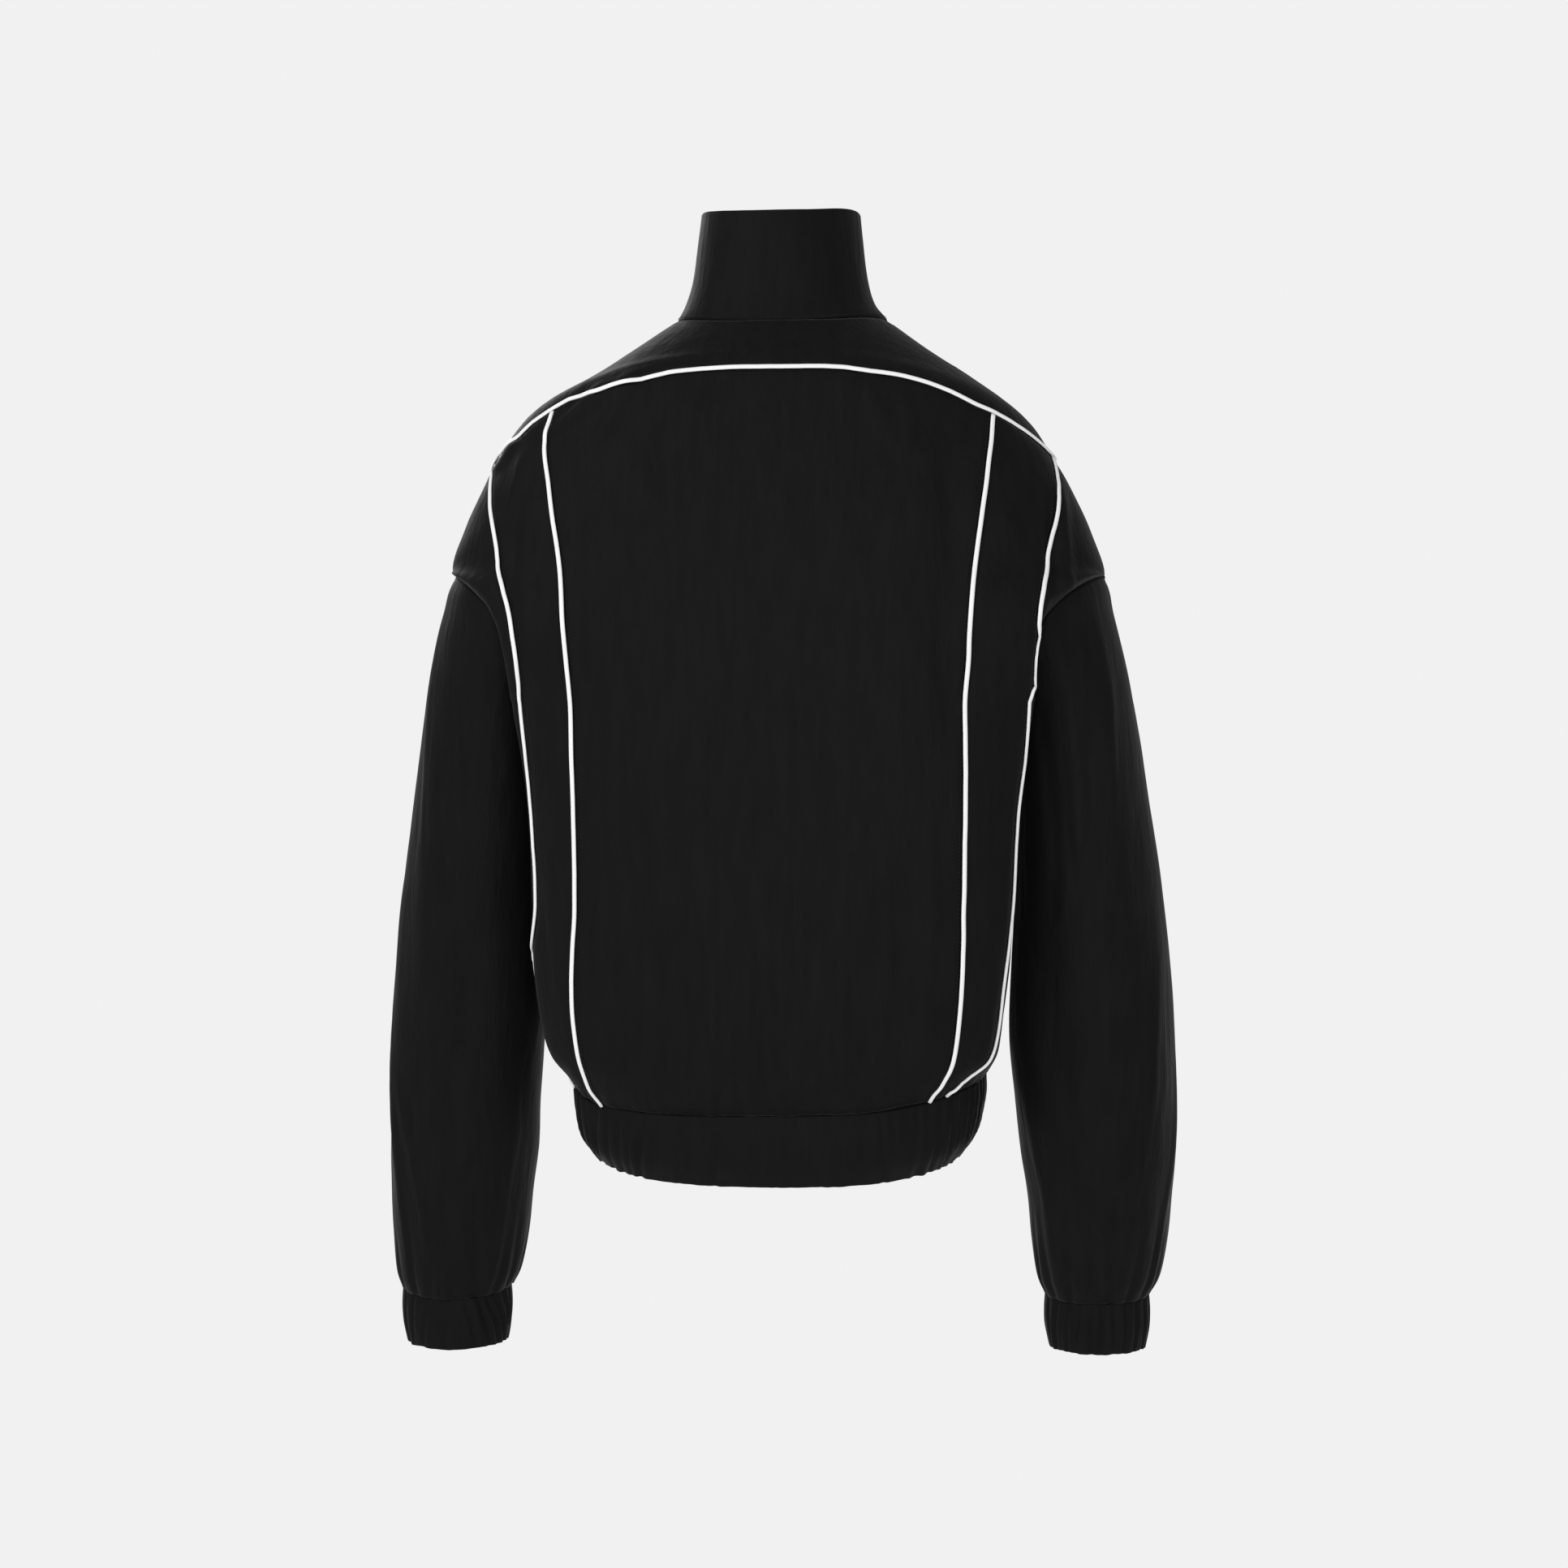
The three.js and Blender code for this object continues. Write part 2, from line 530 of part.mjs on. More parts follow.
// Soft folds of a sleeve: turn at the top and at the bottom, reach along it, half width, height.
const SLEEVE_FOLDS = table(["side", "turn", "top", "endTurn", "bottom", "width", "height"], [
  [-1, 0.2, 0.05, 0.17, 0.62, 0.035, 3.2],
  [-1, 0.1, 0.5, 0.16, 0.97, 0.035, 3.0],
  [-1, 0.36, 0.4, 0.28, 0.9, 0.04, -3.0],
  [-1, 0.78, 0.2, 0.7, 0.85, 0.04, 3.2],
  [1, 0.16, 0.12, 0.2, 0.66, 0.035, 3.0],
  [1, 0.08, 0.45, 0.12, 0.96, 0.035, 3.4],
  [1, 0.3, 0.5, 0.22, 0.98, 0.04, -3.0],
  [1, 0.72, 0.15, 0.8, 0.8, 0.04, 3.2],
]);

// The sleeve's outer and inner edge at v, with x as the distance from the middle plane.
function sleeveEdges(side, v) {
  const get = (name) => column(SLEEVE_ROWS, name, v);
  const label = side > 0 ? "left" : "right";
  return {
    out: new THREE.Vector3(get(label + "Out"), get("midY"), get("outZ")),
    into: new THREE.Vector3(get(label + "In"), get("midY"), get("inZ")),
  };
}

// A point of the sleeve: turn 0 is the outer edge, a quarter the back, half the inner edge.
function sleeveSpot(side, v, turn) {
  const at = (vv, tt) => {
    const { out, into } = sleeveEdges(side, vv);
    const ease = ARMHOLE_EASE * (1 - smoothStep(0, 0.4, vv));
    const angle = 2 * Math.PI * tt - (ease / 2) * Math.sin(4 * Math.PI * tt);
    const depth = column(SLEEVE_ROWS, Math.sin(angle) > 0 ? "back" : "front", vv);
    const full = FULLNESS * smoothStep(0, 0.12, vv) * (1 - smoothStep(0.6, 0.85, vv));
    const inBack = Math.sin(angle) > 0 && Math.cos(angle) < 0;
    const swing = inBack ? Math.sin(angle) ** (1 - full) : Math.sin(angle);
    const point = out.clone().add(into).multiplyScalar(0.5);
    point.addScaledVector(out.sub(into).multiplyScalar(0.5), Math.cos(angle));
    point.y += depth * swing;
    point.x *= side;
    point.z -= CUFF_SAG * smoothStep(0.88, 1, vv) * Math.abs(Math.sin(angle));
    return point;
  };
  const nudge = 0.01;
  const down = at(Math.min(1, v + nudge), turn).sub(at(Math.max(0, v - nudge), turn));
  const round = at(v, turn + nudge).sub(at(v, turn - nudge));
  const normal = down.cross(round).normalize();
  if (side < 0) normal.negate();
  const point = at(v, turn);
  let height = 0;
  for (const fold of SLEEVE_FOLDS) {
    const run = (v - fold.top) / (fold.bottom - fold.top);
    if (fold.side !== side || run <= 0 || run >= 1) continue;
    const away = (turn - fold.turn - (fold.endTurn - fold.turn) * run) / fold.width;
    height += fold.height * Math.exp(-away * away) * Math.sin(Math.PI * run) ** 0.7;
  }
  const gather = smoothStep(0.86, 0.96, v) * (1 - smoothStep(0.985, 1, v) * 0.5);
  height += gather * PUFF_HEIGHT * Math.cos(2 * Math.PI * PUFFS * turn);
  return { point: point.addScaledVector(normal, height), normal };
}

// The armhole edge of a sleeve lies on the straight pieces of the panels' armhole.
function armholeEdgeSpot(side, j) {
  const whole = ((j + SLEEVE_COLUMNS) % SLEEVE_COLUMNS) / SLEEVE_COLUMNS;
  const face = whole <= 0.5 ? "back" : "front";
  const fromTop = face === "back" ? 2 * whole : 2 * (1 - whole);
  const step = (1 - fromTop) * ARMHOLE_STEPS;
  const low = Math.floor(step + 1e-9);
  const corner = (k) => {
    const turn = k / ARMHOLE_STEPS;
    const v = ARMPIT + (SHOULDER_POINT - ARMPIT) * turn;
    return setAskew(armholePoint(face, turn), BODY_ROWS, side, v);
  };
  const point = corner(low);
  const part = step - low;
  if (part > 1e-6) point.lerp(corner(low + 1), part);
  const reach = armholePoint(face, 1).sub(armholePoint(face, 0)).normalize();
  const away = new THREE.Vector3(-reach.z, 0, reach.x).normalize();
  if (away.x < 0) away.negate();
  away.x *= side;
  return point.addScaledVector(away, ARMHOLE_GAP);
}

function sleeve(label, side) {
  const rowCount = SLEEVE_STEPS.length;
  panel("sleeve_" + label, rowCount, SLEEVE_COLUMNS, (i, j) => {
    // Rows run from the cuff up, and columns anticlockwise seen from above.
    const v = SLEEVE_STEPS[rowCount - 1 - i];
    const step = side > 0 ? j : SLEEVE_COLUMNS - j;
    const spot = sleeveSpot(side, v, step / SLEEVE_COLUMNS);
    if (v === 0) spot.point = armholeEdgeSpot(side, step);
    return spot;
  }, CLOTH, true);
}

const CUFF_COLUMNS = 66;
const CUFF_CREASES = 22;
const CUFF_HEIGHTS = { left: 43.5, right: 40.5 };
const CUFF_CREASE_DEPTH = 1.3;
const CUFF_CREASE_CHANGE = 0.4; // how much deeper or shallower single creases are
const CUFF_NARROWING = 3; // at its lower edge

function cuff(label, side) {
  const { out, into } = sleeveEdges(side, 1);
  const depth = column(SLEEVE_ROWS, "back", 1);
  const middleX = (side * (out.x + into.x)) / 2;
  const steps = [1, 0.4, 0];
  panel("cuff_" + label, steps.length, CUFF_COLUMNS, (i, j) => {
    const angle = (2 * Math.PI * j) / CUFF_COLUMNS;
    const down = steps[i];
    const inCrease = j % (CUFF_COLUMNS / CUFF_CREASES) === 0;
    const depthHere = CUFF_CREASE_DEPTH + CUFF_CREASE_CHANGE * Math.sin(2.7 * j);
    const crease = inCrease ? depthHere : 0;
    const less = CUFF_NARROWING * down ** 2 + crease;
    const sag = CUFF_SAG * (1 - 0.5 * down) * Math.abs(Math.sin(angle));
    const point = new THREE.Vector3(
      middleX + ((out.x - into.x) / 2 - less) * Math.cos(angle),
      out.y + (depth - less) * Math.sin(angle),
      out.z - BAND_GAP - down * CUFF_HEIGHTS[label] - sag,
    );
    return { point, normal: new THREE.Vector3(Math.cos(angle), Math.sin(angle), 0) };
  }, BAND_CLOTH, true);
}

// A flat-based round-topped strip along spots of a surface.
function piping(name, spots) {
  const half = PIPING_WIDTH / 2;
  const low = PIPING_LIFT;
  const high = PIPING_LIFT + PIPING_HEIGHT;
  const shoulder = low + 0.9;
  const section = [
    [-half, low], [half, low], [half, shoulder],
    [half * 0.5, high], [-half * 0.5, high], [-half, shoulder],
  ];
  const positions = [];
  const index = [];
  const n = section.length;
  spots.forEach((spot, i) => {
    const before = spots[Math.max(0, i - 1)].point;
    const after = spots[Math.min(spots.length - 1, i + 1)].point;
    const ahead = after.clone().sub(before).normalize();
    const across = ahead.clone().cross(spot.normal).normalize();
    const out = across.clone().cross(ahead).normalize();
    for (const [a, b] of section) {
      const point = spot.point.clone().addScaledVector(across, a).addScaledVector(out, b);
      positions.push(point.x, point.y, point.z);
    }
  });
  for (let i = 0; i < spots.length - 1; i++)
    for (let k = 0; k < n; k++) {
      const a = i * n + k;
      const b = i * n + ((k + 1) % n);
      index.push(a, a + n, b + n, a, b + n, b);
    }
  const end = (spots.length - 1) * n;
  for (let k = 1; k < n - 1; k++) {
    index.push(0, k, k + 1);
    index.push(end, end + k + 1, end + k);
  }
  const geometry = new THREE.BufferGeometry();
  geometry.setAttribute("position", new THREE.Float32BufferAttribute(positions, 3));
  geometry.setIndex(index);
  geometry.computeVertexNormals();
  addPiece(name, geometry, white);
}

function pipings() {
  const shares = yokeShares();
  piping("piping_yoke", shares.map(([side, share]) =>
    surface(BODY_ROWS, "back", side, YOKE, share)));
  const pipingTop = YOKE - 0.006; // clear of the yoke's piping
  const rows = lowerRows.slice(0, -2).concat(pipingTop);
  for (const [label, side] of [["left", 1], ["right", -1]]) {
    piping("piping_inner_" + label, rows.map((v) =>
      surface(BODY_ROWS, "back", side, v, innerSeam(v, side))));
    piping("piping_outer_" + label, rows.map((v) =>
      surface(BODY_ROWS, "back", side, v, outerSeam(v, side))));
  }
}

// The zip runs up the whole front. Its strips are made from the front's own points, moved out.
const CHAIN_HALF = 2.6;
const CHAIN_PROUD = 0.6; // how far the chain stands out past the front edges

function zipStrip(name, xs, lifts, finish) {
  const rows = [
    ...[0, 0.4, 1].map((v) => [BAND_ROWS, v]),
    ...frontRows.slice(1, -1).map((v) => [BODY_ROWS, v]),
    ...[0, 0.1, 0.3, 0.65, 0.985].map((v) => [COLLAR_ROWS, v]),
  ];
  const layer = (top) =>
    rows.map(([stack, v]) =>
      xs.map((x) => {
        const row = halfRow(stack, "front", v);
        const spot = surface(stack, "front", x < 0 ? -1 : 1, v, shareAtX(row, Math.abs(x)));
        const under = stack === BAND_ROWS ? BAND_CLOTH : CLOTH;
        return spot.point.addScaledVector(spot.normal, lifts(under)[top]);
      }),
    );
  addPiece(name, wall(layer(1), layer(0), false), finish);
}

// The slider stands at the top of the chain. Its local frame has z up the chain and -y outward.
const SLIDER_V = 0.84; // place on the collar
const SLIDER = { width: 9, height: 12, plate: 1.6, bridgeWidth: 2.2, bridgeWall: 1.2 };
const EYE = { halfWidth: 1.7, length: 7, bar: 1 }; // the tab's hole, and half its top bar's height
const TAB = { halfWidth: 3.2, length: 25, thickness: 1.4 };
const BRIDGE_ROOM = 3.2; // clear height under the bridge
const LEG_FROM = 2.3; // from the pivot to the bridge's legs, above and below
const LEG_TO = 3.7;

function joined(wasm, a, b) {
  const solid = (geometry) => {
    const bare = geometry.index ? geometry.toNonIndexed() : geometry.clone();
    bare.deleteAttribute("normal");
    bare.deleteAttribute("uv");
    const merged = mergeVertices(bare, 1e-4);
    return new wasm.Manifold(new wasm.Mesh({
      numProp: 3,
      vertProperties: merged.attributes.position.array,
      triVerts: new Uint32Array(merged.index.array),
    }));
  };
  const mesh = solid(a).add(solid(b)).getMesh();
  const geometry = new THREE.BufferGeometry();
  geometry.setAttribute("position", new THREE.BufferAttribute(mesh.vertProperties, 3));
  geometry.setIndex(new THREE.BufferAttribute(mesh.triVerts, 1));
  geometry.computeVertexNormals();
  return geometry;
}

// An outline in x and z, made this thick along y and centred on y = 0.
function plate(outline, thickness) {
  const geometry = new THREE.ExtrudeGeometry(outline, {
    depth: thickness, bevelEnabled: false, curveSegments: 6,
  });
  geometry.translate(0, 0, -thickness / 2);
  geometry.rotateX(Math.PI / 2);
  return geometry;
}

async function zipSlider() {
  const wasm = await Module();
  wasm.setup();
  const middle = surface(COLLAR_ROWS, "front", 1, SLIDER_V, 0);
  const frame = new THREE.Group();
  frame.position.copy(middle.point).addScaledVector(middle.normal, CHAIN_PROUD + 0.3);
  frame.rotation.x = Math.asin(middle.normal.z);
  jacket.add(frame);

  const { width, height, plate: thick, bridgeWidth, bridgeWall } = SLIDER;
  const shield = new THREE.Shape();
  shield.moveTo(-width / 2, height / 2 - 2);
  shield.quadraticCurveTo(-width / 2, height / 2, -width / 2 + 2, height / 2);
  shield.lineTo(width / 2 - 2, height / 2);
  shield.quadraticCurveTo(width / 2, height / 2, width / 2, height / 2 - 2);
  shield.lineTo(width / 2 - 1.5, -height / 2);
  shield.lineTo(-width / 2 + 1.5, -height / 2);
  shield.closePath();
  const base = plate(shield, thick);
  base.translate(0, -thick / 2, 0);

  const room = thick + BRIDGE_ROOM;
  const staple = new THREE.Shape();
  staple.moveTo(-LEG_TO, thick / 2);
  staple.lineTo(-LEG_TO, room);
  staple.lineTo(-LEG_FROM, room + bridgeWall);
  staple.lineTo(LEG_FROM, room + bridgeWall);
  staple.lineTo(LEG_TO, room);
  staple.lineTo(LEG_TO, thick / 2);
  staple.lineTo(LEG_FROM, thick / 2);
  staple.lineTo(LEG_FROM, room);
  staple.lineTo(-LEG_FROM, room);
  staple.lineTo(-LEG_FROM, thick / 2);
  staple.closePath();
  const bridge = new THREE.ExtrudeGeometry(staple, { depth: bridgeWidth, bevelEnabled: false });
  bridge.translate(0, 0, -bridgeWidth / 2);
  // The outline's x goes up and its y outward.
  bridge.applyMatrix4(new THREE.Matrix4().makeBasis(
    new THREE.Vector3(0, 0, 1), new THREE.Vector3(0, -1, 0), new THREE.Vector3(1, 0, 0),
  ));
  addPiece("zip_slider", joined(wasm, base, bridge), darkMetal, frame);

  const { halfWidth, length, thickness } = TAB;
  const tab = new THREE.Shape();
  tab.moveTo(-halfWidth + 0.6, EYE.bar);
  tab.lineTo(halfWidth - 0.6, EYE.bar);
  tab.lineTo(halfWidth - 0.2, -EYE.length - 1.5);
  tab.lineTo(halfWidth, -length + 2);
  tab.quadraticCurveTo(halfWidth, -length, halfWidth - 2, -length);
  tab.lineTo(-halfWidth + 2, -length);
  tab.quadraticCurveTo(-halfWidth, -length, -halfWidth, -length + 2);
  tab.lineTo(-halfWidth + 0.2, -EYE.length - 1.5);
  tab.closePath();
  const eye = new THREE.Path();
  eye.moveTo(-EYE.halfWidth, -EYE.bar);
  eye.lineTo(-EYE.halfWidth, -EYE.length);
  eye.lineTo(EYE.halfWidth, -EYE.length);
  eye.lineTo(EYE.halfWidth, -EYE.bar);
  eye.closePath();
  tab.holes.push(eye);
  const pull = addPiece("zip_pull", plate(tab, thickness), darkMetal, frame);
  pull.position.y = -thick - BRIDGE_ROOM / 2;
}

function zip() {
  const tapeLifts = (under) => [-under - TAPE_GAP - TAPE_THICKNESS, -under - TAPE_GAP];
  zipStrip("zip_tape_left", [0.4, OPENING_HALF, TAPE_WIDTH], tapeLifts, black);
  zipStrip("zip_tape_right", [-TAPE_WIDTH, -OPENING_HALF, -0.4], tapeLifts, black);
  const chainLifts = (under) => [-under - 0.1, CHAIN_PROUD];
  zipStrip("zip_chain", [-CHAIN_HALF, CHAIN_HALF], chainLifts, black);
}

bodyPanels();
yoke();
collar();
hemBand();
sleeve("left", 1);
sleeve("right", -1);
cuff("left", 1);
cuff("right", -1);
pipings();
zip();
await zipSlider();

export default jacket;
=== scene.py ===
"""A black high-collared windbreaker with white piping, filled out as worn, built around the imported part.

Metres in Blender; the tables are in millimetres, in the part's frame: +Z up, the back along +Y and the
wearer's left along +X. Band, body and collar are one stack of rows from the centre back or centre front
to the side. A panel is a stretch of rows between two seams.
"""

import math

import bpy
import numpy as np
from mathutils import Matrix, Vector


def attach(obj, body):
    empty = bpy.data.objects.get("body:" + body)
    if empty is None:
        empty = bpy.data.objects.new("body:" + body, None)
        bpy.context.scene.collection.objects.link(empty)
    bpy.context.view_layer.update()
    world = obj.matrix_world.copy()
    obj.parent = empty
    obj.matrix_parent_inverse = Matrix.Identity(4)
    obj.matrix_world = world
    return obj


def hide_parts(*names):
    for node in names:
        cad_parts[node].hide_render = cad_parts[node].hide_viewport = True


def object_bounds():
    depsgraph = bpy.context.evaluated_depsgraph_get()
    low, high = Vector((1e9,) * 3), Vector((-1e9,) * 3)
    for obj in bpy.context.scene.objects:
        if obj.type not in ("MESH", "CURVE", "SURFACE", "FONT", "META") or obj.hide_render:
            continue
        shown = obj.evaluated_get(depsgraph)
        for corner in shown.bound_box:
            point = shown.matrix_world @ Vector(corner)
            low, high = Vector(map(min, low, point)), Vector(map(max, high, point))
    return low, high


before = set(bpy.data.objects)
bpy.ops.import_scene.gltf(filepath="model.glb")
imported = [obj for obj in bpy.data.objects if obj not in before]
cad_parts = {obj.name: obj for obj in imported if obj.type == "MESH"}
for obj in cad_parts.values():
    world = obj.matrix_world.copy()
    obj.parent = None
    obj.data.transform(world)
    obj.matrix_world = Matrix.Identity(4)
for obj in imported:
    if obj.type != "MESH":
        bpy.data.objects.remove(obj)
CAD_BOX = [list(corner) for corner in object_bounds()]

MM = 0.001
SIDES = (("left", 1), ("right", -1))  # the wearer's
CLOTH = 0.8  # thickness of the cloth shells
BAND_CLOTH = 1.8
COLLAR_CLOTH = 1.5
TAPE_CLOTH = 0.7
PANEL_STEP = 3.6  # spacing of the panels' points
BAND_STEP = 2.0
BODY_HEIGHT = 690.0  # length of the body from the hem seam to the collar seam
SLEEVE_LENGTH = 520.0
SEAM_GAP = 0.3
OPENING_HALF = 5.0  # half the gap between the front edges
TAPE_WIDTH = 15.0

ARMPIT = 0.45
SHOULDER_POINT = 0.72
YOKE = 0.86
EDGE_STEP = 0.0004  # about a third of a millimetre along the body
SEAM_TO_SHOULDER = 6.0  # least distance from a seam of the back to the shoulder line
LEFT_SEAM_TURN = 16.0  # how far the left outer seam turns round the side above the hem

# ---------------------------------------------------------------- rows of the garment


def table(columns, rows):
    """Named columns as arrays."""
    return {name: np.array([row[i] for row in rows]) for i, name in enumerate(columns)}


ROW_COLUMNS = [
    "v", "backZ", "backY", "frontZ", "frontY", "sideX", "sideY", "sideZ", "width", "power",
    "climb", "lean", "tilt",
]

BODY = table(ROW_COLUMNS, [
    [0.0, -611, 108, -608, -106, 158.5, -4, -598, 160.5, 2.9, 3.6, 1, 0],
    [0.03, -594, 115, -590, -113, 165, -4, -582, 168, 3.2, 3.6, 2, 0],
    [0.08, -565, 121, -561, -118, 173, -5, -556, 180, 3.4, 3.6, 4, 0],
    [0.16, -513, 124, -510, -119, 176, -6, -508, 190, 3.5, 3.6, 3.5, 0],
    [0.25, -452, 124, -450, -118, 177, -7, -450, 194, 3.5, 3.6, 2, 0],
    [0.36, -371, 122, -370, -116, 178, -7, -370, 201, 3.5, 3.6, 1, 0],
    [ARMPIT, -303, 120, -304, -114, 178, -5, -300, 215, 3.4, 3.6, 1.5, 0],
    [0.585, -237, 117, -246, -111, 211, -4, -250, 221, 3.1, 3.4, 2.5, 1],
    [SHOULDER_POINT, -160, 111, -190, -107, 252, -4, -201, 252, 2.9, 3.2, 3.5, 2],
    [0.76, -128, 106, -163, -104, 243, -4, -168, 244, 2.8, 3.1, 3.5, 2.5],
    [0.81, -90, 99, -136, -101, 229, 0, -137, 230, 2.7, 2.9, 4, 2],
    [YOKE, -52, 90, -112, -98, 215, 5, -112, 216, 2.6, 2.7, 5, 1],
    [0.895, -40, 84, -93, -94, 194.5, 2, -83, 195.5, 2.5, 2.5, 4.5, 0.5],
    [0.93, -32, 77, -75, -89, 154.5, -3, -53.5, 155.5, 2.4, 2.3, 2, -0.5],
    [0.97, -21, 69, -59, -83, 112, -6, -24.5, 113, 2.3, 2.2, 0.9, -0.8],
    [1.0, -12, 62, -46, -78, 82, -5, -3, 82, 2.2, 2.2, -0.2, 0],
])

COLLAR = table(ROW_COLUMNS, [
    [0.0, -12, 62, -46, -78, 82, -5, -3, 82, 2.2, 2.2, -0.2, 0],
    [0.14, 0, 59.5, -30, -77.5, 74, -7, 9, 74, 2.2, 2.2, 1.5, 0],
    [0.4, 22, 57, 2, -77, 68, -9, 29, 68, 2.2, 2.2, 1.7, 0],
    [0.8, 55.5, 54, 46, -76, 63.5, -11, 64.5, 63.5, 2.2, 2.2, 1.8, 0],
    [1.0, 73.3, 52, 71, -75, 61.8, -12, 81, 61.8, 2.2, 2.2, 1.8, 0],
])

BAND = table(ROW_COLUMNS, [
    [0.0, -661, 101, -657, -99, 140, -4, -648, 140, 2.6, 3.2, 2.5, 0],
    [0.35, -645, 107, -642, -104, 151, -4, -633, 151, 2.8, 3.4, 1.5, 0],
    [0.75, -624, 109, -621, -107, 157, -4, -611, 157.5, 2.9, 3.6, 0.5, 0],
    [1.0, -611, 108, -608, -106, 158.5, -4, -598, 160.5, 2.9, 3.6, 1, 0],
])

SEAM_COLUMNS = ["v", "innerLeft", "outerLeft", "innerRight", "outerRight"]

BACK_SEAMS = table(SEAM_COLUMNS, [
    [0.0, 126, 150, 119, 131.5],
    [0.03, 134, 168, 130, 149.5],
    [0.08, 139, 182, 141, 168],
    [0.16, 143, 184, 146, 175.5],
    [0.25, 142, 175.5, 146, 180],
    [0.36, 144, 181, 146, 184],
    [ARMPIT, 146, 188, 147, 194.5],
    [0.52, 148, 188, 149.5, 199.5],
    [0.585, 150, 190.5, 152, 203],
    [0.655, 153, 202, 156, 207.5],
    [SHOULDER_POINT, 158, 205.5, 160, 210],
    [0.76, 163, 212, 163.5, 215],
    [0.81, 167, 213.5, 167, 217.5],
    [YOKE, 161, 213, 169.5, 213],
])

ARMHOLE_BACK = 78.0
ARMHOLE_FRONT = 74.0
ARMHOLE_EASE = 0.7
ARMHOLE_BOW = {"back": (-10.0, 5.0, 12.0), "front": (-6.0, -2.0, 8.0)}
QUARTER = 96


def column(rows, name, v):
    """Smooth value of a column at v, through the table's rows."""
    knots, values = rows["v"], rows[name]
    last = len(knots) - 1
    i = int(min(max(np.searchsorted(knots, v), 1), last)) - 1

    def slope(k):
        low, high = max(0, k - 1), min(last, k + 1)
        return (values[high] - values[low]) / (knots[high] - knots[low])

    step = knots[i + 1] - knots[i]
    s = (v - knots[i]) / step
    rise = s * s * (3 - 2 * s)
    start_pull = s * (1 - s) ** 2 * step * slope(i)
    end_pull = s * s * (s - 1) * step * slope(i + 1)
    return values[i] + (values[i + 1] - values[i]) * rise + start_pull + end_pull


def smooth_step(low, high, value):
    s = np.clip((value - low) / (high - low), 0, 1)
    return s * s * (3 - 2 * s)


def between(place, knots, value=1):
    """Value at a place, straight from each knot of a list to the next."""
    knots = np.array(knots)
    return np.interp(place, knots[:, 0], knots[:, value])


def run_along(path):
    """Distance from the path's start at each of its points."""
    return np.concatenate([[0], np.cumsum(np.linalg.norm(np.diff(path, axis=0), axis=1))])


def armhole_point(face, turn):
    """The armhole's ring on the left side: turn 0 is the armpit, 1 the shoulder point. Its steps
    are short near both, and its middle is bowed up towards the neck."""
    ends = []
    for v in (ARMPIT, SHOULDER_POINT):
        k = int(np.where(BODY["v"] == v)[0][0])
        ends.append(np.array([BODY["sideX"][k], BODY["sideY"][k], BODY["sideZ"][k]], float))
    armpit, shoulder = ends
    depth = ARMHOLE_BACK if face == "back" else -ARMHOLE_FRONT
    angle = math.pi * turn - ARMHOLE_EASE / 2 * math.sin(2 * math.pi * turn)
    point = (armpit + shoulder) / 2 - (shoulder - armpit) / 2 * math.cos(angle)
    point[1] += depth * math.sin(angle)
    return point + np.array(ARMHOLE_BOW[face]) * math.sin(angle) ** 2


def row_end(rows, face, v):
    if rows is BODY and ARMPIT < v < SHOULDER_POINT:
        return armhole_point(face, (v - ARMPIT) / (SHOULDER_POINT - ARMPIT))
    return np.array([column(rows, name, v) for name in ("sideX", "sideY", "sideZ")])


TILT_REACH = 200.0  # distance from the middle plane at which a row has its full tilt

# How far the sewn hem seam is pulled up, by the distance from the middle plane.
HEM_LIFT = [
    (-165, 13.0), (-149, 11.5), (-125, 9.0), (-100, 6.8), (-77, 5.2), (-14, 4.0), (66, 2.5), (135, 1.8),
    (152, 3.2), (165, 5.5),
]
LIFT_REACH = 0.07  # how far up the body the lift still shows


def set_askew(points, rows, v):
    """Lifts a row near the hem seam, lets its right end hang lower by its tilt, and moves it to the
    wearer's left by its lean."""
    if rows is BODY and v < LIFT_REACH:
        points[:, 2] += (1 - float(smooth_step(0, LIFT_REACH, v))) * between(points[:, 0], HEM_LIFT)
    elif rows is BAND:
        points[:, 2] += v * between(points[:, 0], HEM_LIFT)
    points[:, 2] += column(rows, "tilt", v) * points[:, 0] / TILT_REACH
    points[:, 0] += column(rows, "lean", v)
    return points


ROW_CACHE = {}


def half_row(rows, face, v):
    """The row's left half on one face: points and the length run so far."""
    key = (id(rows), face, round(v, 6))
    if key in ROW_CACHE:
        return ROW_CACHE[key]
    end = row_end(rows, face, v)
    middle_y = column(rows, face + "Y", v)
    middle_z = column(rows, face + "Z", v)
    power = column(rows, "power", v)
    width = column(rows, "width", v) * (0.97 if face == "front" and v < ARMPIT else 1)
    climb = column(rows, "climb", v) if face == "back" else 2.2
    angle = math.pi / 2 * np.linspace(0, 1, QUARTER + 1) ** 1.4
    across = np.sin(angle) ** (2 / power)
    along = np.clip(np.cos(angle), 0, 1) ** (2 / power)
    low, high = (0.2, 0.75) if face == "back" else (0.35, 0.9)
    pressed = 1 - smooth_step(low, high, along)
    points = np.stack([
        width * across + (end[0] - width) * pressed,
        end[1] + (middle_y - end[1]) * along,
        middle_z + (end[2] - middle_z) * np.minimum(1, across) ** climb,
    ], axis=1)
    points[-1] = end
    run = run_along(points)
    ROW_CACHE[key] = (points, run)
    return points, run


def row_length(rows, face, v):
    return half_row(rows, face, v)[1][-1]


def share_at_x(rows, face, v, x):
    """Share of the row's length where it first is this far from the middle plane."""
    points, run = half_row(rows, face, v)
    widest = int(np.argmax(points[:, 0]))
    reach = points[: widest + 1, 0]
    return float(np.interp(x, reach, run[: widest + 1])) / run[-1]


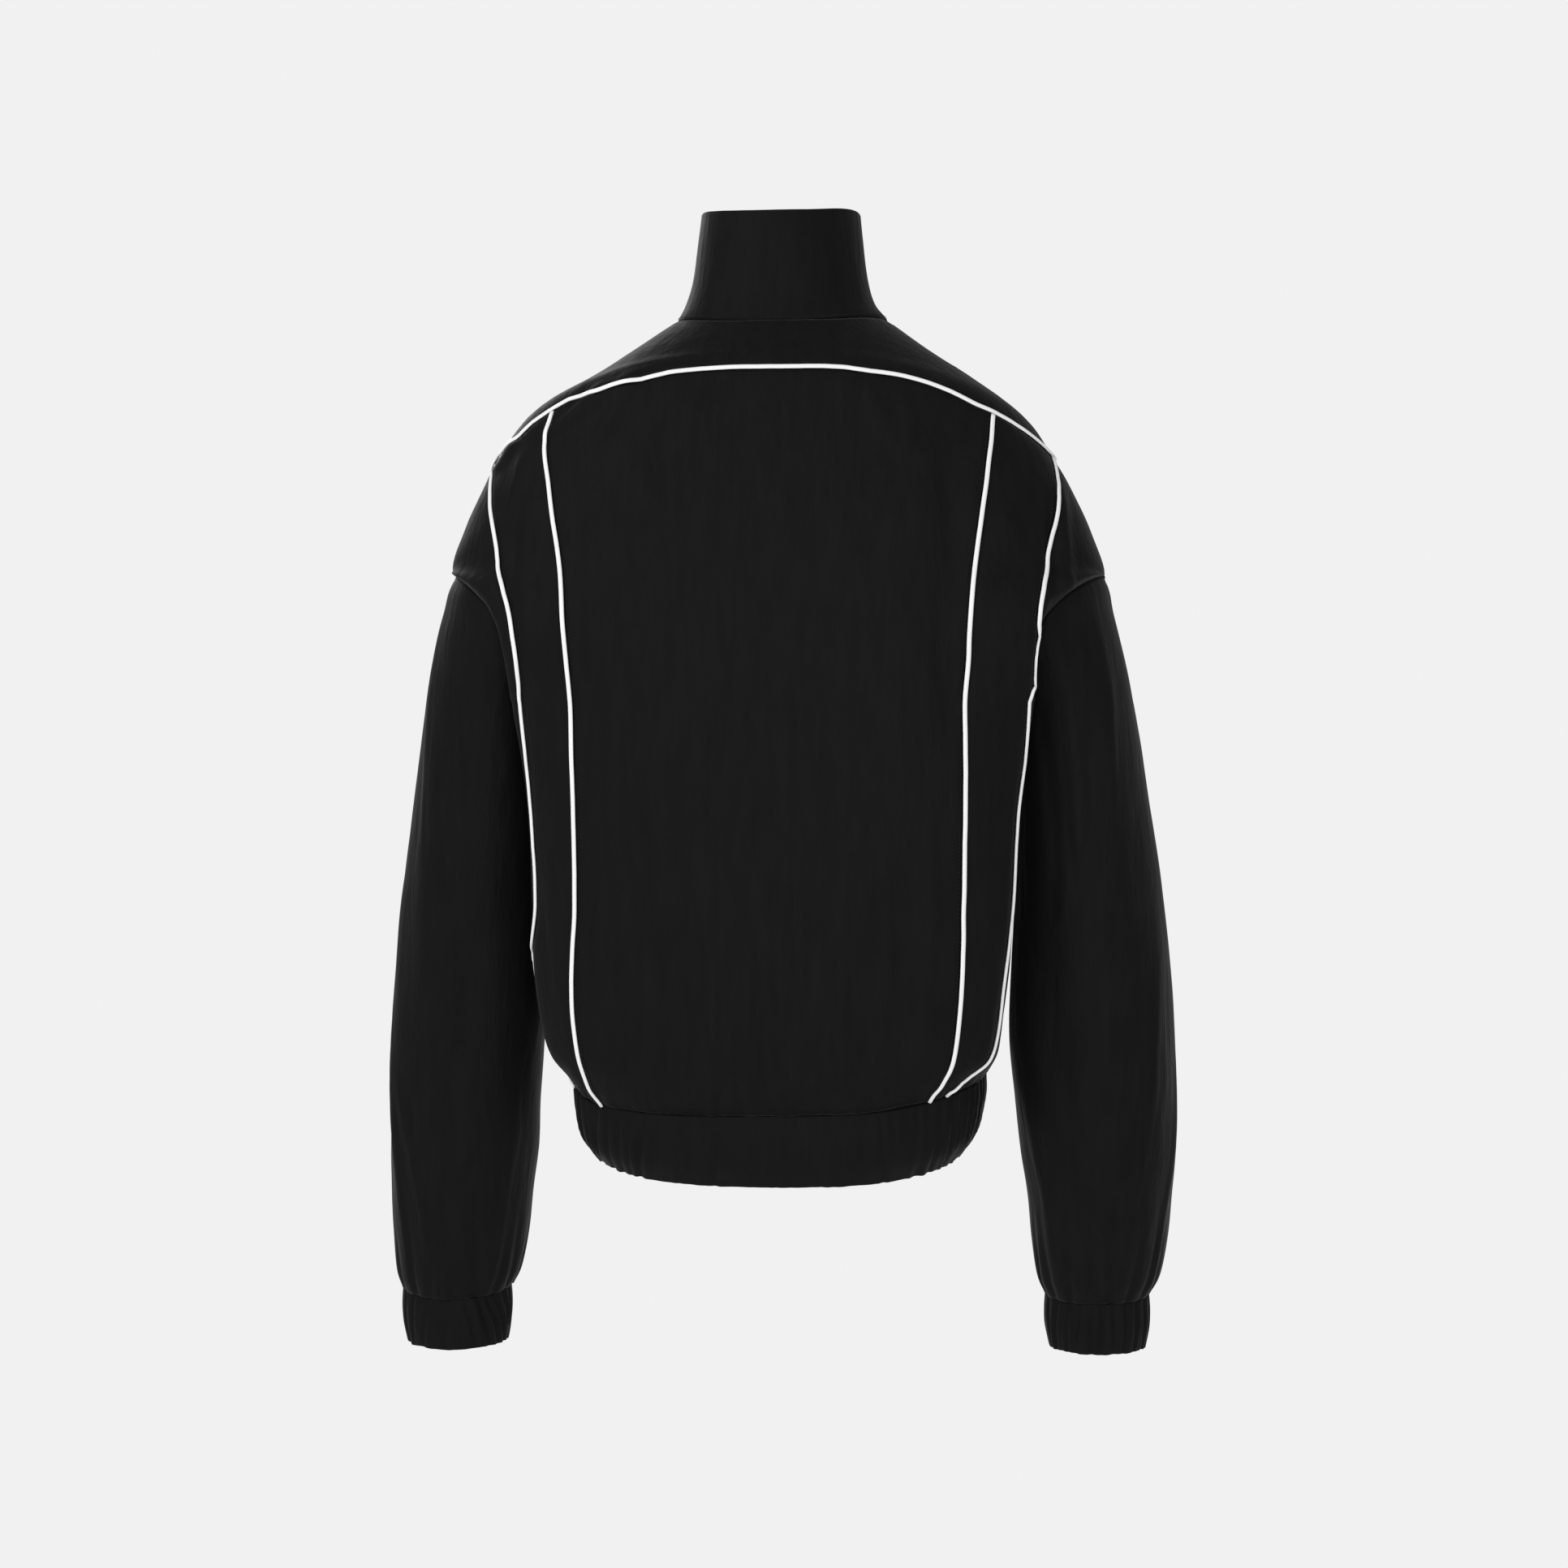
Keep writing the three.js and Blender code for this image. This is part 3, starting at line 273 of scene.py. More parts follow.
# How far the yoke's sewn seam strays down, by the distance from the middle plane.
YOKE_WAVE = [
    (-215, 1.6), (-202, 0.8), (-177, 0.2), (-165, 0.7), (-151, 1.6), (-142, 0.3), (-134, -1.0), (-125, -2.0),
    (-116, -2.6), (-100, -2.9), (-87, -2.2), (-74, -1.4), (-57, -2.3), (-40, -1.6), (-20, -0.6), (-6, -0.3),
    (29, -0.9), (54, -0.7), (76, -0.4), (86, 1.2), (96, 2.6), (117, 2.6), (130, 3.4), (140, 2.0), (154, -1.5),
    (168, 0.1), (182, 2.3), (192, 8.0), (206, 8.5), (214, 3.0),
]
WAVE_REACH = 0.05  # how far from the seam, along the body, the wave still shows
WAVE_FADE = 14.0  # distance from the shoulder line within which it dies away
DROP_LENGTH = 620.0  # millimetres of drop for a whole step of v near the yoke
FINE_STEP = 0.004


def plain_row(rows, face, v, shares):
    """Points of a row at signed shares: positive on the wearer's left, negative on the right."""
    points, run = half_row(rows, face, v)
    target = np.abs(shares) * run[-1]
    out = np.stack([np.interp(target, run, points[:, k]) for k in range(3)], axis=1)
    out[:, 0] *= np.where(shares < 0, -1, 1)
    return set_askew(out, rows, v)


def row_points(rows, face, v, shares):
    """Points of a row, which strays from its level near the yoke's seam."""
    shares = np.asarray(shares, float)
    out = plain_row(rows, face, v, shares)
    if rows is not BODY or face != "back" or abs(v - YOKE) > 3 * WAVE_REACH:
        return out
    near = math.exp(-(((v - YOKE) / WAVE_REACH) ** 2))
    to_end = (1 - np.abs(shares)) * row_length(rows, face, v)
    drop = near * between(out[:, 0], YOKE_WAVE) * smooth_step(0, WAVE_FADE, to_end)
    place = np.clip(v - drop / DROP_LENGTH, 0, 1 - 1e-6) / FINE_STEP
    steps = np.floor(place).astype(int)
    part = (place - steps)[:, None]
    for step in np.unique(steps):
        here = steps == step
        low = plain_row(rows, face, step * FINE_STEP, shares[here])
        high = plain_row(rows, face, min(1, (step + 1) * FINE_STEP), shares[here])
        out[here] = low + (high - low) * part[here]
    return out


# ---------------------------------------------------------------- creases of the cloth


def lattice_noise(u, v, seed, octaves=3):
    """Smooth seeded noise of two coordinates, about -1 to 1."""
    total = np.zeros(np.broadcast(u, v).shape)
    strength, reach = 1.0, 0.0
    for octave in range(octaves):
        rng = np.random.default_rng(seed + 17 * octave)
        grid = rng.uniform(-1, 1, (64, 64))
        a, b = u * 2**octave + 11.3 * octave, v * 2**octave + 7.7 * octave
        i, j = np.floor(a).astype(int), np.floor(b).astype(int)
        s, t = a - i, b - j
        s, t = s * s * (3 - 2 * s), t * t * (3 - 2 * t)
        near = grid[i % 64, j % 64] * (1 - s) + grid[(i + 1) % 64, j % 64] * s
        far = grid[i % 64, (j + 1) % 64] * (1 - s) + grid[(i + 1) % 64, (j + 1) % 64] * s
        total += strength * (near * (1 - t) + far * t)
        reach += strength
        strength *= 0.5
    return total / reach


# The large folds that the part's solids have too, then the smaller creases, each listed:
# x and height at its top, x and height at its foot, half width, rise.
BODY_FOLDS = {
    "back": [
        (20, -180, 14, -600, 22, 3.0), (-22, -230, -14, -605, 20, 2.6), (-58, -400, -52, -600, 22, 2.4),
        (84, -330, 96, -600, 26, -2.6), (-104, -300, -96, -600, 26, -2.2), (118, -90, 78, -170, 20, 2.2),
        (-124, -92, -92, -180, 20, 1.8),
    ],
    "front": [
        (60, -240, 72, -600, 24, 3.0), (-66, -200, -58, -600, 26, 2.8), (122, -330, 112, -600, 24, -2.4),
        (-118, -300, -126, -600, 24, -2.6),
    ],
}
SMALL_FOLDS = {
    "back": [
        (12, -250, 15, -610, 5, 1.5), (-15, -330, -12, -612, 5, 1.5), (2, -470, -1, -612, 6, -1.7),
        (-40, -350, -36, -560, 7, 1.2), (-54, -480, -55, -612, 5, 2.0), (44, -430, 40, -612, 7, 1.4),
        (70, -300, 62, -520, 8, 1.0), (110, -420, 116, -590, 7, 1.4), (-86, -380, -90, -600, 8, 1.2),
        (-122, -360, -118, -560, 7, 1.2), (92, -46, 168, -100, 9, 3.0), (100, -52, 130, -108, 7, 2.4),
        (124, -56, 152, -88, 6, 2.2), (84, -52, 108, -94, 7, 1.5), (196, -96, 216, -124, 5, 2.2),
        (187, -104, 201, -166, 6, 3.0), (194, -118, 195, -246, 8, -3.2), (176, -200, 172, -330, 8, 1.8),
        (-134, -80, -137, -330, 13, -3.5), (-70, -58, -94, -116, 8, 2.2), (-96, -60, -112, -128, 8, 1.8),
        (-182, -92, -176, -190, 10, 2.4), (-213, -124, -222, -224, 5, 3.5),
        (-206, -140, -211, -236, 6, -2.7), (160, -380, 164, -600, 7, 1.8),
        (-162, -330, -160, -590, 7, 1.7), (172, -440, 158, -600, 6, -1.5),
    ],
    "front": [
        (34, -160, 22, -420, 8, 1.0), (-30, -120, -38, -380, 8, 1.0), (96, -120, 60, -230, 9, 1.2),
        (-104, -130, -66, -220, 9, 1.1), (150, -230, 90, -330, 9, 1.3), (-152, -240, -96, -350, 9, 1.2),
        (44, -420, 50, -606, 7, 1.2), (-48, -440, -40, -606, 7, 1.2), (92, -460, 88, -606, 7, 1.0),
        (-96, -430, -100, -606, 7, 1.1), (138, -450, 140, -600, 7, 1.1),
        (-140, -470, -138, -600, 7, 1.0),
    ],
}

# Gathers just above the hem seam: distance from the middle plane, reach up, half width, height.
HEM_GATHERS = {
    "back": [
        (123, 18, 3.5, 1.4), (99, 22, 3.0, 1.6), (91, 12, 2.5, 1.2), (79, 30, 3.5, 1.8),
        (60, 14, 3.0, 0.9), (42, 18, 3.0, 0.8), (27, 24, 4.0, 1.6), (11.5, 62, 3.0, 1.9),
        (-1, 72, 3.5, 1.8), (-20, 16, 3.0, 0.8), (-39, 26, 4.0, 1.6), (-62, 14, 3.0, 0.8),
        (-86, 22, 3.0, 1.5), (-94, 14, 2.5, 1.2), (-103, 26, 3.0, 1.5), (-115, 20, 3.0, 1.6),
        (138, 26, 3.5, 1.6), (150, 20, 3.0, 1.4), (-132, 22, 3.5, 1.5), (-146, 26, 3.0, 1.5),
    ],
    "front": [
        (14, 20, 3.0, 1.2), (30, 30, 3.5, 1.5), (52, 18, 3.0, 1.2), (74, 28, 3.5, 1.7),
        (96, 20, 3.0, 1.4), (118, 30, 3.5, 1.7), (138, 18, 3.0, 1.4), (-16, 26, 3.0, 1.3),
        (-36, 18, 3.0, 1.2), (-58, 30, 3.5, 1.6), (-82, 20, 3.0, 1.3), (-104, 28, 3.5, 1.7),
        (-126, 20, 3.0, 1.4), (-144, 26, 3.0, 1.4),
    ],
}


def fold_height(x, z, folds):
    """Height of soft folds at points of the body."""
    height = np.zeros(x.shape)
    for start_x, top, end_x, bottom, width, rise in folds:
        run = (top - z) / (top - bottom)
        centre = start_x + (end_x - start_x) * run
        fade = smooth_step(0, 0.3, run) * (1 - smooth_step(0.85, 1.1, run))
        height += rise * np.exp(-(((x - centre) / width) ** 2)) * fade
    return height


def body_height(face, x, z, v, side_length):
    """All relief of the body's cloth. side_length is the distance along the row from the middle."""
    height = fold_height(x, z, BODY_FOLDS[face]) + fold_height(x, z, SMALL_FOLDS[face])
    above_hem = v * BODY_HEIGHT
    for place, reach, width, rise in HEM_GATHERS[face]:
        fade = np.exp(-((above_hem / reach) ** 1.5)) * smooth_step(-1, 5, above_hem)
        height += rise * np.exp(-(((side_length - place) / width) ** 2)) * fade
    seed = 3 if face == "back" else 8
    ruffle = lattice_noise(side_length / 6.0 + 40, above_hem / 60.0 + 3, seed + 1, 2)
    height += 1.1 * ruffle * np.exp(-above_hem / 14.0)
    height += 1.3 * lattice_noise(x / 55.0 + 20, z / 160.0 + 30, seed, 2)
    height += 0.28 * lattice_noise(x / 9.0 + 20, z / 46.0 + 30, seed + 5, 3)
    return height


# ---------------------------------------------------------------- meshes


def grid_normals(points, closed=False):
    """Outward normals of a grid whose rows run up and whose columns run anticlockwise from above."""
    if closed:
        wrapped = np.concatenate([points[:, -1:], points, points[:, :1]], axis=1)
        along = (wrapped[:, 2:] - wrapped[:, :-2]) / 2
    else:
        along = np.gradient(points, axis=1)
    up = np.gradient(points, axis=0)
    normals = np.cross(along, up)
    return normals / np.maximum(np.linalg.norm(normals, axis=2, keepdims=True), 1e-9)


def mesh_object(name, vertices, faces, material):
    mesh = bpy.data.meshes.new(name)
    mesh.from_pydata([tuple(p) for p in vertices], [], faces)
    mesh.polygons.foreach_set("use_smooth", [True] * len(mesh.polygons))
    mesh.materials.append(material)
    mesh.update()
    piece = bpy.data.objects.new(name, mesh)
    bpy.context.scene.collection.objects.link(piece)
    return piece


def grid_faces(rows, columns, closed=False):
    i, j = np.meshgrid(np.arange(rows - 1), np.arange(columns if closed else columns - 1), indexing="ij")
    nxt = (j + 1) % columns
    low, high = i * columns, (i + 1) * columns
    return np.stack([low + j, low + nxt, high + nxt, high + j], axis=-1).reshape(-1, 4).tolist()


def cloth_piece(name, points, material, thickness=CLOTH, closed=False, rounded=0.0):
    """A thin shell on a grid of outer points in millimetres."""
    rows, columns = points.shape[:2]
    piece = mesh_object(name, points.reshape(-1, 3) * MM, grid_faces(rows, columns, closed), material)
    shell = piece.modifiers.new("thickness", "SOLIDIFY")
    shell.thickness = thickness * MM
    shell.offset = -1
    shell.use_even_offset = False
    if rounded:
        bevel = piece.modifiers.new("edge", "BEVEL")
        bevel.width = rounded * MM
        bevel.segments = 2
        bevel.limit_method = "ANGLE"
        bevel.angle_limit = math.radians(60)
    return piece


def dress(piece, node, body="jacket"):
    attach(piece, body)
    if node:
        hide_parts(node)


def grid_area(points):
    """Area in square metres of a grid in millimetres."""
    a = points[1:, :-1] - points[:-1, :-1]
    b = points[:-1, 1:] - points[:-1, :-1]
    return float(np.linalg.norm(np.cross(a, b), axis=2).sum()) * 1e-6


def grid_size(points):
    """Greatest width and length in metres of a grid in millimetres."""
    width = np.linalg.norm(np.diff(points, axis=1), axis=2).sum(axis=1).max() * MM
    length = np.linalg.norm(np.diff(points, axis=0), axis=2).sum(axis=0).max() * MM
    return float(width), float(length)


def declare_sheet(flat_points, closed=False, gather=1.0):
    """Works out the smooth form's size and area, with what the gathers take up, and does nothing more with
    them.
    """
    if closed:
        flat_points = np.concatenate([flat_points, flat_points[:, :1]], axis=1)
    width, length = grid_size(flat_points)
    width *= gather
    area = min(grid_area(flat_points) * gather, width * length)
    area = max(area, 0.3 * width * length)


# ---------------------------------------------------------------- materials


def new_material(name):
    material = bpy.data.materials.new(name)
    material.use_nodes = True
    return material, material.node_tree


def set_inputs(node, **values):
    """Sets inputs of a node; an underscore in a name stands for a blank."""
    for name, value in values.items():
        node.inputs[name.replace("_", " ")].default_value = value


def add_node(tree, kind, source=None, into=None, **values):
    """A shader node with these input values, and a source that feeds one input."""
    node = tree.nodes.new("ShaderNode" + kind)
    set_inputs(node, **values)
    if source is not None:
        tree.links.new(source, node.inputs[into])
    return node


def stretched_noise(tree, place, scale, stretch, detail=3, roughness=0.6):
    vector = add_node(tree, "Mapping", place, "Vector", Scale=stretch).outputs["Vector"]
    noise = add_node(tree, "TexNoise", vector, "Vector", Scale=scale, Detail=detail, Roughness=roughness)
    return noise.outputs["Fac"]


def bump_layer(tree, height, distance, strength, normal=None):
    bump = add_node(tree, "Bump", height, "Height", Strength=strength, Distance=distance)
    if normal is not None:
        tree.links.new(normal, bump.inputs["Normal"])
    return bump.outputs["Normal"]


def two_tones(tree, factor, dark, light):
    ramp = add_node(tree, "ValToRGB", factor, "Fac")
    for element, colour in zip(ramp.color_ramp.elements, (dark, light)):
        element.color = (*colour, 1)
    return ramp.outputs["Color"]


def nylon(name, crinkle=1.0):
    """Black crinkled nylon: a fine upright crinkle over a tight weave, with a soft sheen."""
    material, tree = new_material(name)
    place = add_node(tree, "TexCoord").outputs["Object"]
    fine = stretched_noise(tree, place, 1.0, (420, 420, 60))
    middle = stretched_noise(tree, place, 1.0, (120, 120, 22), 2, 0.5)
    weave = add_node(tree, "TexWave", place, "Vector", Scale=700, Distortion=1.2, Detail=1)
    weave.wave_type = "BANDS"
    weave.bands_direction = "Z"
    normal = bump_layer(tree, middle, 0.0016 * crinkle, 0.55)
    normal = bump_layer(tree, fine, 0.0006 * crinkle, 0.6, normal)
    normal = bump_layer(tree, weave.outputs["Fac"], 0.00008, 0.3, normal)
    colour = two_tones(tree, middle, (0.0046, 0.0046, 0.0048), (0.0082, 0.0082, 0.0085))
    rough = add_node(tree, "MapRange", fine, "Value", To_Min=0.5, To_Max=0.66).outputs["Result"]
    shader = tree.nodes["Principled BSDF"]
    set_inputs(shader, Specular_IOR_Level=0.05, Sheen_Weight=0.06, Sheen_Roughness=0.35)
    set_inputs(shader, Sheen_Tint=(0.9, 0.9, 0.95, 1))
    for source, into in ((normal, "Normal"), (colour, "Base Color"), (rough, "Roughness")):
        tree.links.new(source, shader.inputs[into])
    return material


def simple_material(name, colour, roughness, metallic=0.0, grain=600.0, depth=0.00006, specular=0.4):
    """A plain surface with a fine grain in its height and its tone."""
    material, tree = new_material(name)
    place = add_node(tree, "TexCoord").outputs["Object"]
    noise = stretched_noise(tree, place, grain, (1, 1, 1))
    dark, light = [c * 0.85 for c in colour], [min(1, c * 1.06) for c in colour]
    shader = tree.nodes["Principled BSDF"]
    set_inputs(shader, Roughness=roughness, Metallic=metallic, Specular_IOR_Level=specular)
    tree.links.new(bump_layer(tree, noise, depth, 0.5), shader.inputs["Normal"])
    tree.links.new(two_tones(tree, noise, dark, light), shader.inputs["Base Color"])
    return material


NYLON = nylon("black_nylon")
BAND_NYLON = nylon("black_nylon_gathered", 0.8)
PIPING = simple_material("white_piping", (0.92, 0.92, 0.92), 0.45, grain=900.0, depth=0.00012)
THREAD = simple_material("black_thread", (0.012, 0.012, 0.013), 0.5, specular=0.25)
TAPE = simple_material("zip_tape_weave", (0.011, 0.011, 0.012), 0.8, 0.0, 1400.0, 0.0002, 0.2)
TEETH = simple_material("zip_teeth_plastic", (0.013, 0.013, 0.014), 0.35)
METAL = simple_material("black_enamel", (0.016, 0.016, 0.017), 0.3, metallic=0.6, specular=0.5)


def sew_sheet(name, node, smooth, shift, material=NYLON, thickness=CLOTH, closed=False,
              gather=1.0, rounded=0.0):
    """A piece of cloth through the shifted points; the size of the smooth ones is worked out too.
    A piece of cloth through the shifted points, whose cut is that of the smooth ones.
    """
    piece = cloth_piece(name, shift, material, thickness, closed, rounded)
    dress(piece, node)
    declare_sheet(smooth, closed, gather)


# ---------------------------------------------------------------- body panels


def inner_seam(v, side):
    """Share of the back's row at which the inner seam lies."""
    name = "innerLeft" if side > 0 else "innerRight"
    return share_at_x(BODY, "back", v, column(BACK_SEAMS, name, v))


# How far the outer seams stray outwards from the table above: height, left, right.
SEAM_DRIFT = [
    (-520, 0.0, 0.0), (-484, -0.8, 0.2), (-409, 0.3, 0.2), (-384, -0.4, 0.4), (-358, -0.4, 1.2),
    (-346, -0.5, 1.3), (-333, -1.0, 0.8), (-321, -1.2, 0.0), (-308, -1.3, -1.2), (-295, -1.5, -2.6),
    (-283, -1.3, -1.9), (-270, -1.2, -1.1), (-258, -0.6, -1.0), (-245, 0.8, -1.7), (-232, 2.3, -0.8),
    (-220, 2.7, 0.5), (-207, 1.3, 0.9), (-195, -0.5, 0.8), (-182, 0.0, 1.7), (-169, 0.0, 1.8),
    (-157, -0.1, 0.5), (-144, -0.2, -1.5), (-132, 0.3, -2.0), (-115, 0.0, -0.5),
]


def outer_seam(v, side):
    """Share of the back's row at which the outer seam lies."""
    name = "outerLeft" if side > 0 else "outerRight"
    place = column(BACK_SEAMS, name, v)
    share = share_at_x(BODY, "back", v, place)
    height = float(plain_row(BODY, "back", v, np.array([side * share]))[0, 2])
    place += float(between(height, SEAM_DRIFT, 1 if side > 0 else 2))
    share = share_at_x(BODY, "back", v, place)
    length = row_length(BODY, "back", v)
    turn = LEFT_SEAM_TURN * (1 - float(smooth_step(0.08, 0.21, v))) if side > 0 else 0
    return min(share + turn / length, 1 - SEAM_TO_SHOULDER / length)


def moved(v, share, distance, face="back"):
    return share + distance / row_length(BODY, face, v)


def columns_for(width, step=PANEL_STEP):
    return int(round(width / step)) + 1


DENSE_ROWS = 0.06  # up to here the rows lie closer, for the gathers


def body_rows(low, high, step=PANEL_STEP):
    """Evenly spaced rows of the body, closer just above the hem seam."""
    rows = np.linspace(low, high, columns_for((high - low) * BODY_HEIGHT, step))
    if low == 0:
        rows = np.concatenate([np.linspace(0, DENSE_ROWS, 19), rows[rows > DENSE_ROWS + 0.003]])
    return rows


def body_grid(face, rows, span, columns):
    """Smooth points of a panel, with the lengths from the middle and the places v of its points.
    span(v) gives the signed shares at its first and last column."""
    points, lengths = [], []
    for v in rows:
        start, end = span(v)
        shares = np.linspace(start, end, columns)
        points.append(row_points(BODY, face, v, shares))
        lengths.append(shares * row_length(BODY, face, v))
    places = np.repeat(rows[:, None], columns, axis=1)
    return np.array(points), np.array(lengths), places


EDGES = ["start", "end", "top", "bottom"]
ARMHOLE_CALM = 18.0  # distance from the armhole within which the cloth's relief dies away


def edge_distances(points):
    """Distance of a grid's points from each of its edges."""
    rows, columns = points.shape[:2]
    across = np.linalg.norm(np.diff(points, axis=1), axis=2)
    rising = np.linalg.norm(np.diff(points, axis=0), axis=2)
    along = np.concatenate([np.zeros((rows, 1)), np.cumsum(across, axis=1)], axis=1)
    up = np.concatenate([np.zeros((1, columns)), np.cumsum(rising, axis=0)], axis=0)
    return {"start": along, "end": along[:, -1:] - along, "bottom": up, "top": up[-1:] - up}


def edge_dip(points, edges, depth=0.9, reach=3.2):
    """How far the cloth turns in towards its sewn edges."""
    distances = edge_distances(points)
    return depth * np.max([np.exp(-((distances[edge] / reach) ** 2)) for edge in edges], axis=0)


def body_panel(name, face, low, high, span, columns, armhole=None):
    """A panel between two seams. Along the armhole it lies flush, with no relief."""
    points, lengths, places = body_grid(face, body_rows(low, high), span, columns)
    height = body_height(face, points[..., 0], points[..., 2], places, lengths)
    if armhole:
        height *= smooth_step(0, ARMHOLE_CALM, edge_distances(points)[armhole])
    height -= edge_dip(points, [edge for edge in EDGES if edge != armhole])
    sew_sheet("cloth_" + name, name, points, points + grid_normals(points) * height[..., None], gather=1.04)


def body_panels():
    top = YOKE - EDGE_STEP
    half_gap = SEAM_GAP / 2

    def centre(v):
        return moved(v, inner_seam(v, 1), -half_gap), -moved(v, inner_seam(v, -1), -half_gap)

    body_panel("back_centre", "back", 0, top, centre, columns_for(330))
    for label, side in SIDES:

        def order(a, b, side=side, face="back"):
            """Columns run anticlockwise seen from above."""
            from_far = (side > 0) == (face == "back")
            return (side * b, side * a) if from_far else (side * a, side * b)

        def side_back(v, order=order, side=side):
            low = moved(v, inner_seam(v, side), half_gap)
            return order(low, moved(v, outer_seam(v, side), -half_gap))

        def side_panel(v, order=order, side=side):
            return order(moved(v, outer_seam(v, side), half_gap), moved(v, 1, -half_gap))

        def front(v, order=order):
            low = share_at_x(BODY, "front", v, OPENING_HALF)
            return order(low, moved(v, 1, -half_gap, "front"), face="front")

        near, far = ("start", "end") if side > 0 else ("end", "start")
        body_panel("back_side_" + label, "back", 0, top, side_back, columns_for(70, 2.4))
        body_panel("side_" + label, "back", 0, top, side_panel, columns_for(80, 2.6), near)
        body_panel("front_" + label, "front", 0, 1, front, columns_for(230), far)


def yoke():
    rows = body_rows(YOKE, 1, 2.6)

    def span(v):
        end = moved(v, 1, -SEAM_GAP / 2)
        return end, -end

    columns = columns_for(440, 3.0)
    points, lengths, places = body_grid("back", rows, span, columns)
    height = body_height("back", points[..., 0], points[..., 2], places, lengths)
    height -= np.maximum(edge_dip(points, ["start", "end", "bottom"]), edge_dip(points, ["top"], 0.35, 2.0))
    sew_sheet("cloth_yoke", "yoke", points, points + grid_normals(points) * height[..., None], gather=1.04)


def round_grid(rows_table, places, step):
    """Points all round a collar or band, from the left front edge over the back to the right one."""
    front_count = columns_for(row_length(rows_table, "front", 0.5), step)
    back_count = columns_for(2 * row_length(rows_table, "back", 0.5), step)
    grid, runs = [], []
    for v in places:
        opening = share_at_x(rows_table, "front", v, OPENING_HALF)
        front = np.linspace(opening, 1, front_count)[:-1]
        back = np.linspace(1, -1, back_count)
        left = row_points(rows_table, "front", v, front)
        middle = row_points(rows_table, "back", v, back)
        right = row_points(rows_table, "front", v, -front[::-1])
        row = np.concatenate([left, middle, right])
        grid.append(row)
        run = run_along(row)
        runs.append(run - run[len(run) // 2])
    return np.array(grid), np.array(runs)


def collar():
    places = np.linspace(0, 1, 34)
    points, runs = round_grid(COLLAR, places, 3.0)
    normals = grid_normals(points)
    x, z = points[..., 0], points[..., 2]
    height = 0.9 * lattice_noise(runs / 50.0 + 30, z / 70.0 + 20, 21, 2)
    height += 0.18 * lattice_noise(runs / 9.0 + 30, z / 40.0 + 20, 25, 3)
    height -= edge_dip(points, ["bottom"], 0.7, 2.5)
    wave = 0.6 * lattice_noise(runs / 34.0 + 9, np.zeros_like(runs) + 4.5, 31, 2)
    shift = points + normals * height[..., None]
    shift[..., 2] += wave * places[:, None] ** 2
    shift[0, :, 2] += 0.35
    sew_sheet("cloth_collar", "collar", points, shift, thickness=COLLAR_CLOTH, gather=1.03, rounded=0.6)


# Creases of the hem band: the distance from the centre back, positive to the wearer's left, at the
# top and at the bottom, half width and depth.
BAND_CREASES = [
    (122, 116, 2.4, 1.9), (114, 113, 1.8, 1.3), (84, 88, 1.8, 1.2), (133, 128, 2.0, 1.5),
    (144, 146, 2.2, 1.9), (155, 150, 1.8, 1.4), (166, 168, 2.2, 1.8), (178, 174, 2.0, 1.5),
    (40, 42, 1.6, 0.4), (8, 8, 1.6, 0.8), (-40, -38, 2.0, 0.9), (-65, -66, 1.6, 0.4),
    (-95, -99, 2.6, 2.2), (-108, -106, 1.8, 1.0), (-116, -116, 2.0, 1.3), (-127, -127, 2.0, 1.5),
    (-137, -145, 2.8, 2.2), (-152, -149, 2.0, 1.6), (-164, -168, 2.2, 1.8), (-176, -174, 2.0, 1.6),
    (190, 193, 2.2, 1.7), (203, 200, 2.0, 1.4), (216, 219, 2.4, 1.9), (230, 227, 2.0, 1.5),
    (243, 246, 2.2, 1.8), (257, 254, 2.0, 1.3), (270, 272, 2.4, 1.8), (284, 281, 2.0, 1.5),
    (298, 301, 2.2, 1.7), (314, 311, 2.0, 1.4), (330, 332, 2.2, 1.6), (346, 344, 2.0, 1.3),
    (364, 366, 2.2, 1.6), (-189, -186, 2.0, 1.5), (-202, -205, 2.4, 1.9), (-215, -212, 2.0, 1.4),
    (-229, -231, 2.2, 1.8), (-241, -238, 2.0, 1.4), (-255, -258, 2.4, 1.9), (-269, -266, 2.0, 1.5),
    (-283, -286, 2.2, 1.7), (-299, -296, 2.0, 1.4), (-315, -317, 2.2, 1.7), (-332, -329, 2.0, 1.3),
    (-350, -352, 2.2, 1.6), (-367, -365, 2.0, 1.4),
]


def hem_band():
    places = np.linspace(0, 1, 30)
    points, runs = round_grid(BAND, places, BAND_STEP)
    normals = grid_normals(points)
    up = places[:, None]
    height = 1.5 * np.sin(np.pi * up) * np.ones_like(runs) * 0.6
    ease = 0.45 + 0.55 * np.sin(np.pi * np.clip(up, 0.02, 0.98)) ** 0.6
    for top, bottom, width, depth in BAND_CREASES:
        centre = bottom + (top - bottom) * up
        height -= depth * crease((runs - centre) / width, 2.1, 1.1) * ease
    far = smooth_step(90, 170, np.abs(runs))
    height += (0.25 + 0.75 * far) * lattice_noise(runs / 4.2 + 50, up * 1.2 + 5, 41, 2)
    height += 0.35 * lattice_noise(runs / 14.0 + 50, up * 3 + 5, 45, 2)
    shift = points + normals * height[..., None]
    edge = 0.9 * lattice_noise(runs / 8.0 + 70, np.zeros_like(runs) + 2.5, 47, 2)
    shift[..., 2] += edge * (1 - up) ** 3 * (0.4 + far)
    shift[..., 2] -= 0.5 * up**4
    lip = []
    for rise, tuck in ((0.8, 1.8), (5.0, 3.6)):
        row = shift[-1] - normals[-1] * tuck
        row[:, 2] += rise
        lip.append(row)
    shift = np.concatenate([shift, lip])
    sew_sheet("cloth_hem_band", "hem_band", points, shift, BAND_NYLON, BAND_CLOTH, gather=1.15,
              rounded=0.7)


